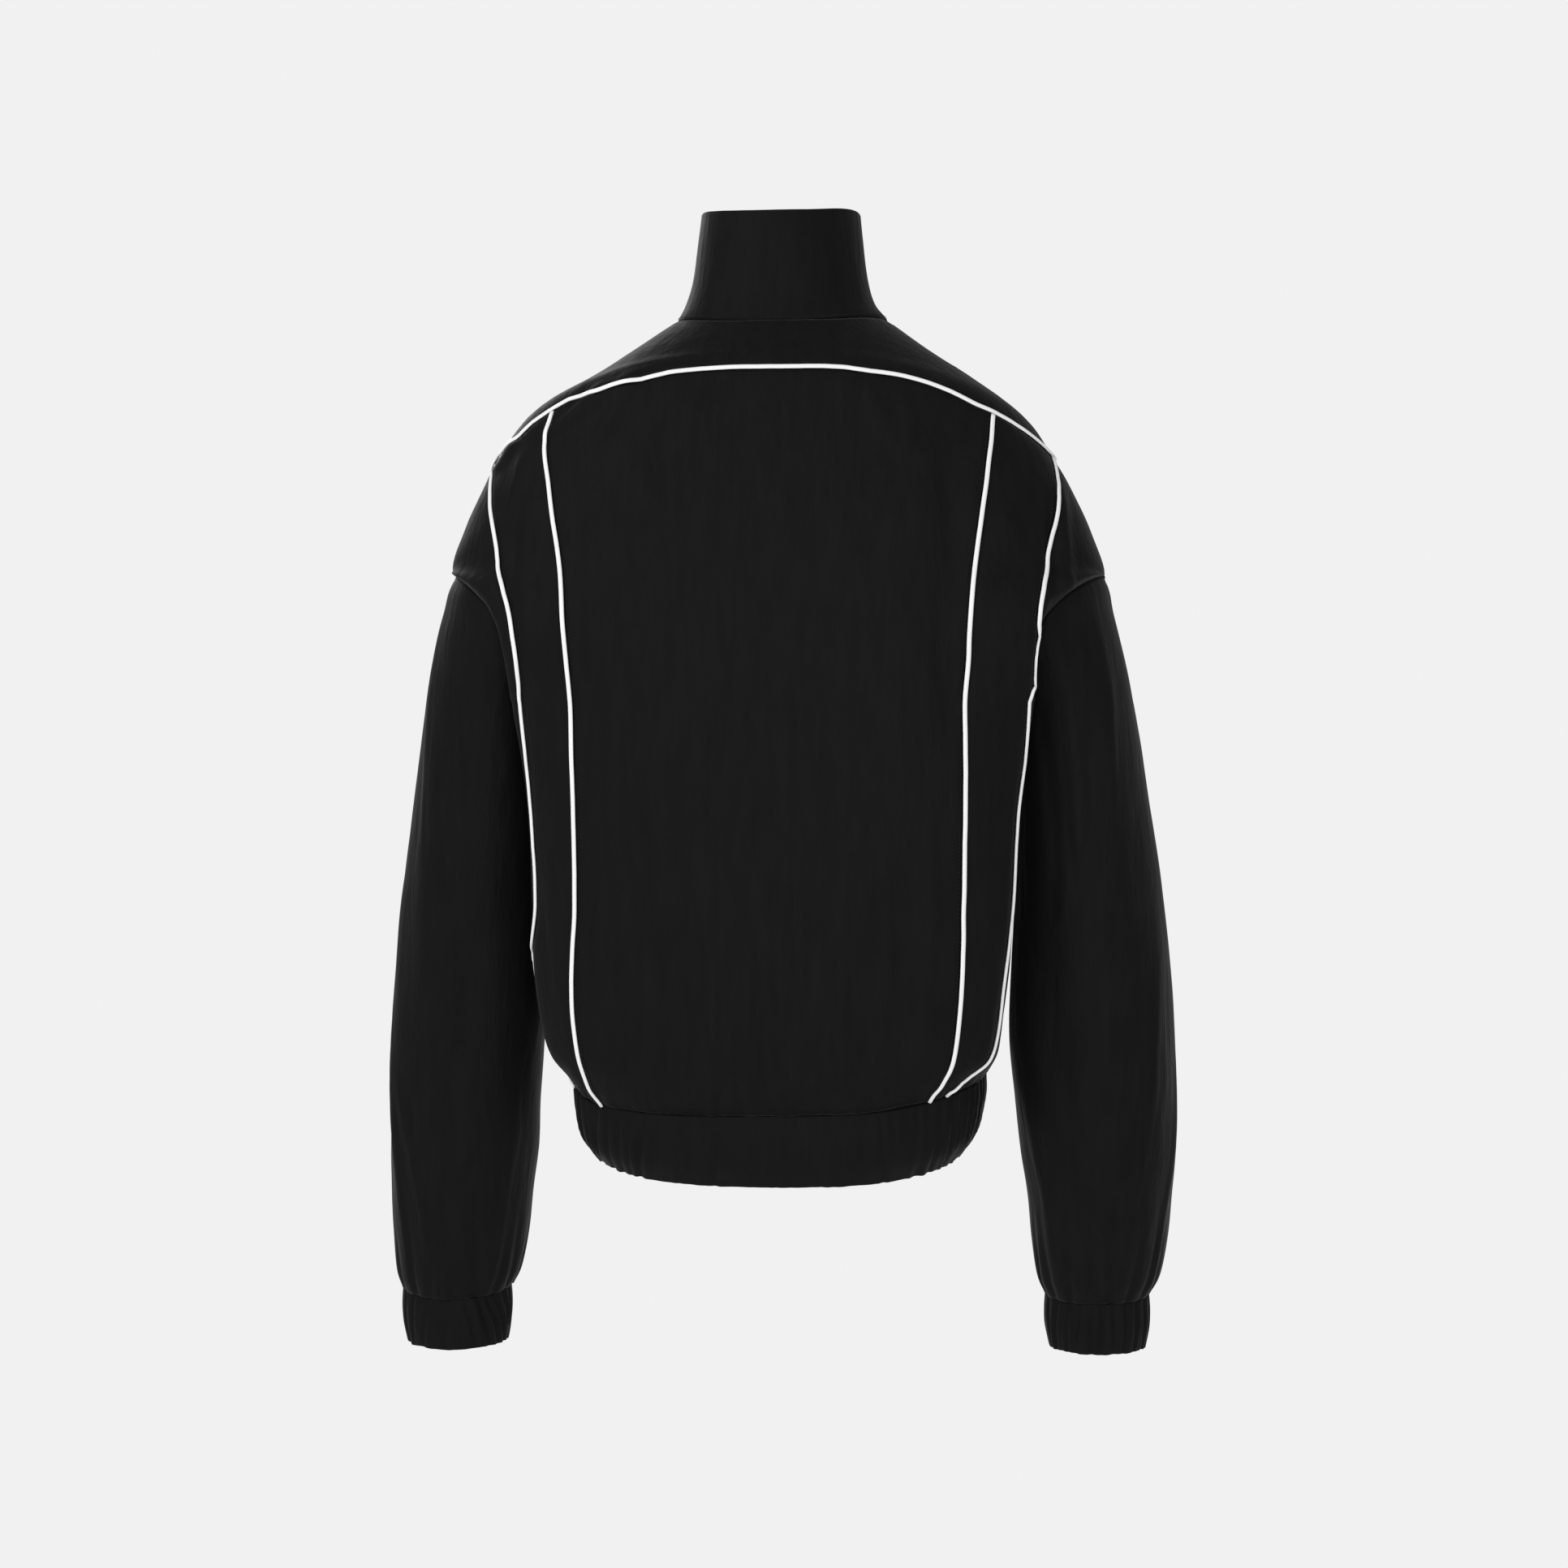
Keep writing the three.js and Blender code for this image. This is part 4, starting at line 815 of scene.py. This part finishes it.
# ---------------------------------------------------------------- sleeves and cuffs

SLEEVE = table(
    ["v", "leftOut", "leftIn", "rightOut", "rightIn", "outZ", "inZ", "midY", "back", "front"],
    [
        [0.0, 255.5, 179.5, 248.5, 176.5, -201, -300, -4, ARMHOLE_BACK, ARMHOLE_FRONT],
        [0.07, 267.5, 183, 257.5, 180, -237, -318, -8, 78, 75],
        [0.15, 277, 184.5, 267.5, 181.5, -280, -340, -12, 77, 75],
        [0.25, 285, 185.5, 276.5, 181.5, -330, -372, -16, 76, 75],
        [0.35, 293, 186, 284, 181, -382, -412, -19, 75, 74],
        [0.46, 301.5, 187, 292.5, 179, -440, -458, -21, 73, 72],
        [0.57, 306.5, 189, 299.5, 176.5, -500, -510, -23, 71, 70],
        [0.67, 310, 191.5, 303.5, 175.5, -556, -560, -24, 68, 67],
        [0.76, 312.5, 194.5, 305.5, 180, -606, -608, -25, 64, 63],
        [0.84, 314, 196, 304.5, 184.5, -650, -650, -26, 60, 58],
        [0.9, 312.5, 202, 300.5, 190.5, -686, -686, -26, 54, 52],
        [0.95, 310.5, 207, 296, 194.5, -717, -717, -27, 47, 46],
        [0.98, 308.5, 212, 291, 198, -741, -741, -27, 41, 40],
        [1.0, 305, 218, 284, 203, -757, -757, -27, 36, 36],
    ],
)
FULLNESS = 0.33  # how square the section is between its back and its inner edge
CUFF_SAG = {1: 8.0, -1: 3.0}
CUFF_HEIGHTS = {1: 43.5, -1: 40.5}  # on the wearer's left and right
CUFF_NARROWING = 3.0
BAND_GAP = 0.6

# Folds of the sleeves on the wearer's left (1) and right (-1): turn and place at the top, turn and
# place at the foot, half width, rise. A turn of 0 is the outer edge, a quarter is the back.
SLEEVE_FOLDS = {
    -1: [
        (0.2, 0.05, 0.17, 0.62, 0.035, 3.2), (0.1, 0.5, 0.16, 0.97, 0.035, 3.0),
        (0.36, 0.4, 0.28, 0.9, 0.04, -3.0), (0.78, 0.2, 0.7, 0.85, 0.04, 3.2),
    ],
    1: [
        (0.16, 0.12, 0.2, 0.66, 0.035, 3.0), (0.08, 0.45, 0.12, 0.96, 0.035, 3.4),
        (0.3, 0.5, 0.22, 0.98, 0.04, -3.0), (0.72, 0.15, 0.8, 0.8, 0.04, 3.2),
    ],
}
SMALL_SLEEVE_FOLDS = {
    -1: [
        (0.245, -0.06, 0.266, 0.45, 0.016, 3.4), (0.30, 0.0, 0.33, 0.5, 0.02, -2.2),
        (0.17, 0.02, 0.19, 0.4, 0.012, 1.6), (0.24, 0.3, 0.21, 0.75, 0.014, 1.2),
        (0.1, 0.55, 0.2, 0.99, 0.014, 1.9), (0.3, 0.68, 0.22, 1.0, 0.014, 1.8),
        (0.02, 0.7, 0.09, 1.0, 0.013, 1.5), (0.42, 0.72, 0.36, 1.0, 0.014, 1.6),
        (0.62, 0.1, 0.68, 0.6, 0.014, 1.4), (0.84, 0.4, 0.78, 0.98, 0.014, 1.6),
        (0.92, 0.6, 0.98, 1.0, 0.013, 1.5),
    ],
    1: [
        (0.13, 0.05, 0.15, 0.45, 0.012, 1.5), (0.22, 0.25, 0.25, 0.7, 0.014, 1.2),
        (0.06, 0.58, 0.14, 1.0, 0.013, 1.8), (0.11, 0.72, 0.22, 1.0, 0.013, 1.6),
        (0.3, 0.66, 0.26, 1.0, 0.014, 1.7), (0.4, 0.74, 0.37, 1.0, 0.013, 1.4),
        (0.6, 0.15, 0.66, 0.65, 0.014, 1.4), (0.86, 0.4, 0.8, 0.98, 0.014, 1.6),
        (0.94, 0.62, 0.99, 1.0, 0.013, 1.4),
    ],
}
TUCK_WIDTH = 0.012
# Tucks where the sleeve is gathered into the cuff: turn, reach up the sleeve, depth.
TUCKS = {
    -1: [
        (0.045, 0.05, 2.6), (0.1, 0.07, 3.0), (0.16, 0.05, 2.6), (0.215, 0.06, 2.8), (0.27, 0.045, 2.4),
        (0.33, 0.06, 2.8), (0.39, 0.05, 2.6), (0.455, 0.07, 3.0), (0.52, 0.05, 2.4), (0.58, 0.06, 2.8),
        (0.65, 0.05, 2.6), (0.71, 0.07, 2.8), (0.775, 0.05, 2.4), (0.835, 0.06, 2.8), (0.9, 0.05, 2.6),
        (0.965, 0.06, 2.8),
    ],
    1: [
        (0.03, 0.05, 2.4), (0.085, 0.05, 2.2), (0.15, 0.07, 2.6), (0.2, 0.04, 1.8), (0.265, 0.05, 2.0),
        (0.32, 0.07, 2.6), (0.385, 0.05, 2.4), (0.44, 0.06, 2.6), (0.505, 0.05, 2.4), (0.57, 0.06, 2.8),
        (0.63, 0.05, 2.4), (0.7, 0.07, 2.8), (0.76, 0.05, 2.4), (0.825, 0.06, 2.8), (0.885, 0.05, 2.6),
        (0.95, 0.06, 2.8),
    ],
}


def sleeve_values(side, v):
    get = {name: column(SLEEVE, name, v) for name in SLEEVE if name != "v"}
    get["outX"] = get["leftOut"] if side > 0 else get["rightOut"]
    get["inX"] = get["leftIn"] if side > 0 else get["rightIn"]
    return get


def armhole_ring(side, turns):
    """The body's armhole at turns of the sleeve: 0 is its outer edge, a quarter its back."""
    points = []
    for turn in turns:
        face = "back" if turn <= 0.5 else "front"
        height = 1 - 2 * turn if face == "back" else 2 * turn - 1
        point = armhole_point(face, height)
        point[0] *= side
        points.append(set_askew(point[None], BODY, ARMPIT + (SHOULDER_POINT - ARMPIT) * height)[0])
    return np.array(points)


def sleeve_base(side, places, turns):
    """Smooth sleeve points: rows from the cuff up, columns anticlockwise seen from above."""

    def section(v):
        get = sleeve_values(side, v)
        ease = ARMHOLE_EASE * (1 - float(smooth_step(0, 0.4, v)))
        angle = 2 * math.pi * turns - ease / 2 * np.sin(4 * math.pi * turns)
        mix, swing = np.cos(angle), np.sin(angle)
        depth = np.where(swing > 0, get["back"], get["front"])
        x = (get["outX"] + get["inX"]) / 2 + (get["outX"] - get["inX"]) / 2 * mix
        z = (get["outZ"] + get["inZ"]) / 2 + (get["outZ"] - get["inZ"]) / 2 * mix
        z = z - CUFF_SAG[side] * float(smooth_step(0.88, 1, v)) * np.abs(swing)
        full = FULLNESS * float(smooth_step(0, 0.12, v) * (1 - smooth_step(0.6, 0.85, v)))
        in_back = (swing > 0) & (mix < 0)
        swing = np.where(in_back, np.abs(swing) ** (1 - full), swing)
        return np.stack([side * x, get["midY"] + depth * swing, z], axis=1)

    to_ring = armhole_ring(side, turns) - section(0)
    return np.array([section(v) + to_ring * (1 - float(smooth_step(0, 0.1, v))) for v in places])


def crease(away, shoulder, spread):
    """Depth of a crease, with a low swell on both its sides."""
    return np.exp(-(away**2)) - 0.45 * np.exp(-(((np.abs(away) - shoulder) / spread) ** 2))


def wrapped(turn):
    return (turn + 0.5) % 1 - 0.5


def turns_round(count, side):
    """Turns of a sleeve's columns, which run anticlockwise seen from above on either side."""
    turns = np.arange(count) / count
    return turns if side > 0 else turns[::-1]


def sleeve(label, side):
    places = np.concatenate([np.linspace(1, 0.86, 40), np.linspace(0.856, 0, 122)])
    turns = turns_round(168, side)
    points = sleeve_base(side, places, turns)
    normals = grid_normals(points, True)
    v, turn = places[:, None], turns[None, :]
    height = np.zeros(points.shape[:2])
    for start, top, end, bottom, width, rise in SLEEVE_FOLDS[side] + SMALL_SLEEVE_FOLDS[side]:
        run = (v - top) / (bottom - top)
        away = wrapped(turn - start - (end - start) * run) / width
        fade = np.sin(np.pi * np.clip(run, 0, 1)) ** 0.7
        height += rise * np.exp(-(away**2)) * fade
    tuck_shape = smooth_step(-0.001, 0.012, 1 - v) * 0.55 + 0.45
    for start, reach, depth in TUCKS[side]:
        sweep = TUCK_WIDTH * math.sin(37 * start)
        away = wrapped(turn - start - sweep * (1 - v) / reach) / TUCK_WIDTH
        fade = np.exp(-(((1 - v) / reach) ** 1.6))
        height -= depth * np.exp(-(away**2)) * fade * tuck_shape
    gather = smooth_step(0.86, 0.96, v) * (1 - smooth_step(0.985, 1, v) * 0.5)
    height += 1.8 * gather
    seed = 51 if side > 0 else 61
    height += 1.5 * lattice_noise(turn * 9 + 20, v * 5 + 10, seed, 2)
    height += 0.3 * lattice_noise(turn * 52 + 20, v * 14 + 10, seed + 3, 3)
    above_cuff = SLEEVE_LENGTH * (1 - v)
    height -= 0.4 * np.exp(-((above_cuff / 2.5) ** 2))
    below_armhole = SLEEVE_LENGTH * v
    height = height * smooth_step(0, ARMHOLE_CALM, below_armhole)
    height += 1.3 * np.exp(-(((below_armhole - 12) / 10) ** 2)) * smooth_step(0, 8, below_armhole)
    shift = points + normals * height[..., None]
    shift[-1] += np.array([0.15 * side, 0, -0.2])  # clear of the body panels
    sew_sheet("cloth_sleeve_" + label, "sleeve_" + label, points, shift, closed=True, gather=1.05)


# Cuff creases: the turn at the top and at the bottom, half width in millimetres and depth.
CUFF_CREASES = {
    -1: [
        (0.03, 0.035, 1.8, 1.5), (0.075, 0.07, 1.8, 1.6), (0.12, 0.118, 1.7, 1.4), (0.16, 0.162, 1.8, 1.7),
        (0.2, 0.197, 1.6, 1.3), (0.235, 0.236, 1.8, 1.6), (0.275, 0.272, 1.7, 1.5), (0.31, 0.325, 2.0, 1.8),
        (0.35, 0.352, 1.8, 1.5), (0.39, 0.41, 2.0, 1.8), (0.44, 0.438, 1.8, 1.4), (0.48, 0.49, 1.8, 1.6),
    ],
    1: [
        (0.03, 0.04, 1.8, 1.4), (0.08, 0.085, 1.8, 1.6), (0.13, 0.12, 1.6, 1.2), (0.19, 0.16, 1.6, 1.0),
        (0.25, 0.24, 1.8, 0.9), (0.3, 0.34, 2.0, 1.3), (0.34, 0.385, 2.0, 1.7), (0.365, 0.425, 1.9, 1.8),
        (0.39, 0.46, 1.8, 1.7), (0.43, 0.49, 1.8, 1.5), (0.47, 0.5, 1.8, 1.4),
    ],
}
HIDDEN_CUFF_CREASES = [
    (0.53, 0.535, 1.8, 1.6), (0.575, 0.57, 1.7, 1.4), (0.62, 0.625, 1.9, 1.7), (0.665, 0.66, 1.7, 1.3),
    (0.71, 0.713, 1.9, 1.6), (0.755, 0.75, 1.8, 1.5), (0.8, 0.805, 1.9, 1.7), (0.845, 0.84, 1.7, 1.4),
    (0.89, 0.893, 1.8, 1.6), (0.935, 0.93, 1.8, 1.5), (0.98, 0.982, 1.7, 1.3),
]


def cuff(label, side):
    get = sleeve_values(side, 1.0)
    turns = turns_round(150, side)
    half_width = (get["outX"] - get["inX"]) / 2
    middle_x = (get["outX"] + get["inX"]) / 2
    down = np.linspace(1, 0, 26)[:, None]
    angle = 2 * math.pi * turns[None, :]
    girth = 2 * math.pi * math.sqrt((half_width**2 + get["back"] ** 2) / 2)
    relief = 1.1 * np.sin(np.pi * down) * np.ones_like(angle)
    ease = 0.5 + 0.5 * np.sin(np.pi * np.clip(down, 0.03, 0.97)) ** 0.6
    for top, bottom, width, depth in CUFF_CREASES[side] + HIDDEN_CUFF_CREASES:
        centre = top + (bottom - top) * down
        away = wrapped(turns[None, :] - centre) * girth / width
        relief -= depth * crease(away, 2.0, 1.0) * ease
    seed = 71 if side > 0 else 81
    relief += 0.45 * lattice_noise(turns[None, :] * girth / 4.5 + 20, down * 2 + 5, seed, 2)
    relief = relief - 0.6
    narrowing = CUFF_NARROWING * down**2
    sag = CUFF_SAG[side] * (1 - 0.5 * down) * np.abs(np.sin(angle))
    x = side * (middle_x + (half_width - narrowing + relief) * np.cos(angle))
    y = get["midY"] + (get["back"] - narrowing + relief) * np.sin(angle)
    z = get["outZ"] - BAND_GAP - down * CUFF_HEIGHTS[side] - sag
    edge = 1.0 * lattice_noise(turns[None, :] * 26 + 20, np.zeros_like(angle) + 3.5, seed + 2, 2)
    z = z + edge * down**3
    points = np.stack([x, y, z * np.ones_like(x)], axis=2)
    sew_sheet("cloth_cuff_" + label, "cuff_" + label, points, points, BAND_NYLON, BAND_CLOTH,
              True, 1.1, 0.6)


# ---------------------------------------------------------------- pipings and stitches


def ring_faces(base, rings, count, turned=False):
    """Faces that join rings of vertices, with a cap at each end."""
    faces = []
    for start in range(base, base + (rings - 1) * count, count):
        for k in range(count):
            a, b = start + k, start + (k + 1) % count
            faces.append((a, b, b + count, a + count) if turned else (a, a + count, b + count, b))
    first = tuple(range(base, base + count))
    last = tuple(range(base + (rings - 1) * count, base + rings * count))
    return faces + ([first[::-1], last] if turned else [first, last[::-1]])


def at_distance(distance, run, values):
    """Point or normal at a distance along a path."""
    return np.array([np.interp(distance, run, values[:, k]) for k in range(3)])


def swept_strip(name, path, normals, section, material):
    """A closed section swept along a path. The section's first axis lies across, its second outward."""
    ahead = np.gradient(path, axis=0)
    ahead /= np.linalg.norm(ahead, axis=1, keepdims=True)
    across = np.cross(ahead, normals)
    across /= np.linalg.norm(across, axis=1, keepdims=True)
    out = np.cross(across, ahead)
    vertices = path[:, None] + across[:, None] * section[None, :, :1] + out[:, None] * section[None, :, 1:]
    faces = ring_faces(0, len(path), len(section))
    return mesh_object(name, vertices.reshape(-1, 3) * MM, faces, material)


PIPING_RADIUS = 1.75
PIPING_LIFT = 0.6


def surface_line(spots, lift=0.0):
    """Points and outward normals of the back's relief along a line of spots: v and signed share."""
    points, normals = [], []
    nudge_v, nudge_s = 0.003, 0.01
    for v, signed in spots:
        side, share = 1 if signed >= 0 else -1, abs(signed)

        def at(height, part, side=side):
            return row_points(BODY, "back", height, [side * part])[0]

        up = at(min(1, v + nudge_v), share) - at(max(0, v - nudge_v), share)
        out = at(v, min(1, share + nudge_s)) - at(v, max(0, share - nudge_s))
        normal = np.cross(up, out) * side
        normal /= np.linalg.norm(normal)
        point = at(v, share)
        length = signed * row_length(BODY, "back", v)
        relief = body_height("back", point[:1], point[2:], np.array([v]), np.array([length]))[0]
        points.append(point + normal * (relief + lift))
        normals.append(normal)
    return np.array(points), np.array(normals)


def piping_section():
    angles = np.linspace(0, 2 * math.pi, 13)[:-1]
    across = PIPING_RADIUS * np.cos(angles)
    out = PIPING_LIFT + PIPING_RADIUS * 0.62 * (1 + np.sin(angles))
    return np.stack([across, out], axis=1)


def piping(name, spots, seed):
    path, normals = surface_line(spots, -0.5)
    run = run_along(path)
    ahead = np.gradient(path, axis=0)
    across = np.cross(ahead / np.linalg.norm(ahead, axis=1, keepdims=True), normals)
    wander = 0.55 * lattice_noise(run / 34 + 5, np.zeros_like(run) + 1.5, seed, 2)
    path = path + across * wander[:, None]
    piece = swept_strip("cord_" + name, path, normals, piping_section(), PIPING)
    dress(piece, name)


def pipings():
    columns = np.linspace(1, -1, 190)
    piping("piping_yoke", [(YOKE, share) for share in columns], 91)
    rows = np.linspace(0.0008, YOKE - 0.0055, 190)
    for label, side in SIDES:
        piping("piping_inner_" + label, [(v, side * inner_seam(v, side)) for v in rows], 93 + side)
        piping("piping_outer_" + label, [(v, side * outer_seam(v, side)) for v in rows], 97 + side)


def stitches(name, path, normals, pitch=3.0, length=2.0, radius=0.28, lift=0.15):
    """A row of short raised stitches along a path, as one mesh."""
    run = run_along(path)
    starts = np.arange(pitch / 2, run[-1] - length, pitch)
    profile = [(0.0, 0.35), (0.5, 1.0), (1.0, 0.35)]
    around = [(1, 0), (0.3, 1), (-0.3, 1), (-1, 0), (0, -0.8)]
    vertices, faces = [], []
    for start in starts:
        faces += ring_faces(len(vertices), len(profile), len(around))
        centre = at_distance(start, run, path)
        ahead = at_distance(start + length, run, path) - centre
        normal = at_distance(start, run, normals)
        across = np.cross(ahead, normal)
        across /= np.linalg.norm(across)
        for part, size in profile:
            spot = centre + ahead * part + normal * lift
            for a, b in around:
                vertices.append(spot + across * a * radius * size + normal * b * radius * size)
    piece = mesh_object(name, np.array(vertices) * MM, faces, THREAD)
    dress(piece, None)


def topstitching():
    columns = np.linspace(0.985, -0.985, 260)
    stitches("stitch_yoke", *surface_line([(YOKE + 0.0062, share) for share in columns]))
    for label, side in SIDES:
        for which, seam, top in (("inner", inner_seam, 0.845), ("outer", outer_seam, 0.78)):
            rows = np.linspace(0.004, top, 240)
            spots = [(v, side * moved(v, seam(v, side), -3.6)) for v in rows]
            stitches("stitch_" + which + "_" + label, *surface_line(spots))
    points, _ = round_grid(COLLAR, np.linspace(0.0, 0.05, 3), 2.0)
    normals = grid_normals(points)
    stitches("stitch_collar", points[1] + normals[1] * 0.1, normals[1], pitch=2.8, length=1.9)


# ---------------------------------------------------------------- zip


def front_line(x):
    """Points and normals up the whole front at this distance from the middle plane."""
    stacks = [(BAND, 0, 0.99, 20), (BODY, 0.004, 0.996, 230), (COLLAR, 0.005, 0.985, 44)]
    points = []
    for rows, low, high, count in stacks:
        for v in np.linspace(low, high, count):
            share = share_at_x(rows, "front", v, abs(x))
            points.append(row_points(rows, "front", v, [share if x >= 0 else -share])[0])
    points = np.array(points)
    ahead = np.gradient(points, axis=0)
    normals = np.stack([np.zeros(len(points)), -ahead[:, 2], ahead[:, 1]], axis=1)
    normals /= np.linalg.norm(normals, axis=1, keepdims=True)
    return points, normals


def zip_tapes():
    for label, side in SIDES:
        columns = np.linspace(0.4, TAPE_WIDTH, 8) * side
        if side < 0:
            columns = columns[::-1]
        lines = [front_line(x) for x in columns]
        points = np.stack([p - n * 3.2 for p, n in lines], axis=1)
        sew_sheet("weave_zip_tape_" + label, "zip_tape_" + label, points, points, TAPE, TAPE_CLOTH)


def zip_teeth():
    """Two rows of moulded teeth that mesh on the middle plane."""
    path, normals = front_line(0.0)
    run = run_along(path)
    pitch, vertices, faces = 2.6, [], []
    block = [(-0.5, 0.0), (2.3, 0.0), (2.3, 0.75), (1.6, 1.1), (0.2, 1.1), (-0.5, 0.7)]
    rings = [(-0.52, 0.8), (-0.3, 1.0), (0.3, 1.0), (0.52, 0.8)]
    for k, start in enumerate(np.arange(1.5, run[-1] - 2, pitch / 2)):
        side = 1 if k % 2 else -1
        centre = at_distance(start, run, path)
        normal = at_distance(start, run, normals)
        ahead = np.array([0, -normal[2], normal[1]])
        ahead = -ahead if ahead[2] < 0 else ahead
        faces += ring_faces(len(vertices), len(rings), len(block), side > 0)
        for shift, size in rings:
            for a, b in block:
                spot = centre + ahead * shift * 1.9 + np.array([side * (0.9 + (a - 0.9) * size), 0, 0])
                vertices.append(spot + normal * ((b - 0.5) * size * 1.5 - 0.5))
    piece = mesh_object("teeth_zip_chain", np.array(vertices) * MM, faces, TEETH)
    for polygon in piece.data.polygons:
        polygon.use_smooth = False
    dress(piece, "zip_chain")


def metal_parts():
    """The slider and its tab keep their own form, in black enamel."""
    for node in ("zip_slider", "zip_pull"):
        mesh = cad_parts[node].data
        mesh.materials.clear()
        mesh.materials.append(METAL)


# ---------------------------------------------------------------- stage, light and camera

CENTRE_Z = -0.362  # height that the camera looks at
CAMERA_AZIMUTH = 185.5
CAMERA_DISTANCE = 2.2
VIEW_WIDTH = 1.217  # width of the view at the garment's middle plane
CAMERA_SHIFT = -0.0016  # how far to the wearer's right of the middle plane the camera aims
PALE = 0.879
WORLD_LIGHT = 0.38


def stage():
    world = bpy.data.worlds.new("studio")
    world.use_nodes = True
    bpy.context.scene.world = world
    tree = world.node_tree
    tree.nodes.clear()
    pale = (PALE, PALE, PALE, 1)
    light = add_node(tree, "Background", Color=(1, 1, 1, 1), Strength=WORLD_LIGHT)
    seen = add_node(tree, "Background", Color=pale)
    mix = add_node(tree, "MixShader", add_node(tree, "LightPath").outputs["Is Camera Ray"], "Fac")
    tree.links.new(light.outputs["Background"], mix.inputs[1])
    tree.links.new(seen.outputs["Background"], mix.inputs[2])
    add_node(tree, "OutputWorld", mix.outputs["Shader"], "Surface")

    material, tree = new_material("pale_floor")
    tree.nodes.clear()
    glow = add_node(tree, "Emission", Color=pale)
    add_node(tree, "OutputMaterial", glow.outputs["Emission"], "Surface")
    low, reach = CAD_BOX[0][2] - 0.25, 6.0
    corners = [(-reach, -reach, low), (reach, -reach, low), (reach, reach, low), (-reach, reach, low)]
    mesh_object("floor", corners, [(0, 1, 2, 3)], material)


def area_light(name, place, size, power):
    """A round soft light that faces the garment's middle."""
    data = bpy.data.lights.new(name, "AREA")
    data.shape = "DISK"
    data.size = size
    data.energy = power
    light = bpy.data.objects.new(name, data)
    light.location = place
    aim = Vector((0, 0, CENTRE_Z)) - Vector(place)
    light.rotation_euler = aim.to_track_quat("-Z", "Y").to_euler()
    bpy.context.scene.collection.objects.link(light)


def lights():
    area_light("key", (1.9, 2.1, 1.3), 1.6, 37)
    area_light("back_soft", (-0.3, 2.9, 0.1), 1.2, 20)
    area_light("front_soft", (0.3, -2.9, 0.1), 1.2, 20)
    area_light("fill", (-1.6, 2.4, 0.0), 2.0, 6)
    area_light("front_key", (1.5, -2.3, 1.2), 1.6, 26)


def camera():
    data = bpy.data.cameras.new("camera")
    data.sensor_width = 36.0
    data.lens = 36.0 * CAMERA_DISTANCE / VIEW_WIDTH
    turn = math.radians(CAMERA_AZIMUTH)
    out = Vector((math.sin(turn), -math.cos(turn), 0))
    eye = bpy.data.objects.new("camera", data)
    eye.location = Vector((CAMERA_SHIFT, 0, CENTRE_Z)) + out * CAMERA_DISTANCE
    eye.rotation_euler = (-out).to_track_quat("-Z", "Y").to_euler()
    bpy.context.scene.collection.objects.link(eye)
    bpy.context.scene.camera = eye


camera()
stage()
lights()
bpy.context.scene.view_settings.view_transform = "Standard"
body_panels()
yoke()
collar()
hem_band()
for label, side in SIDES:
    sleeve(label, side)
    cuff(label, side)
pipings()
topstitching()
zip_tapes()
zip_teeth()
metal_parts()
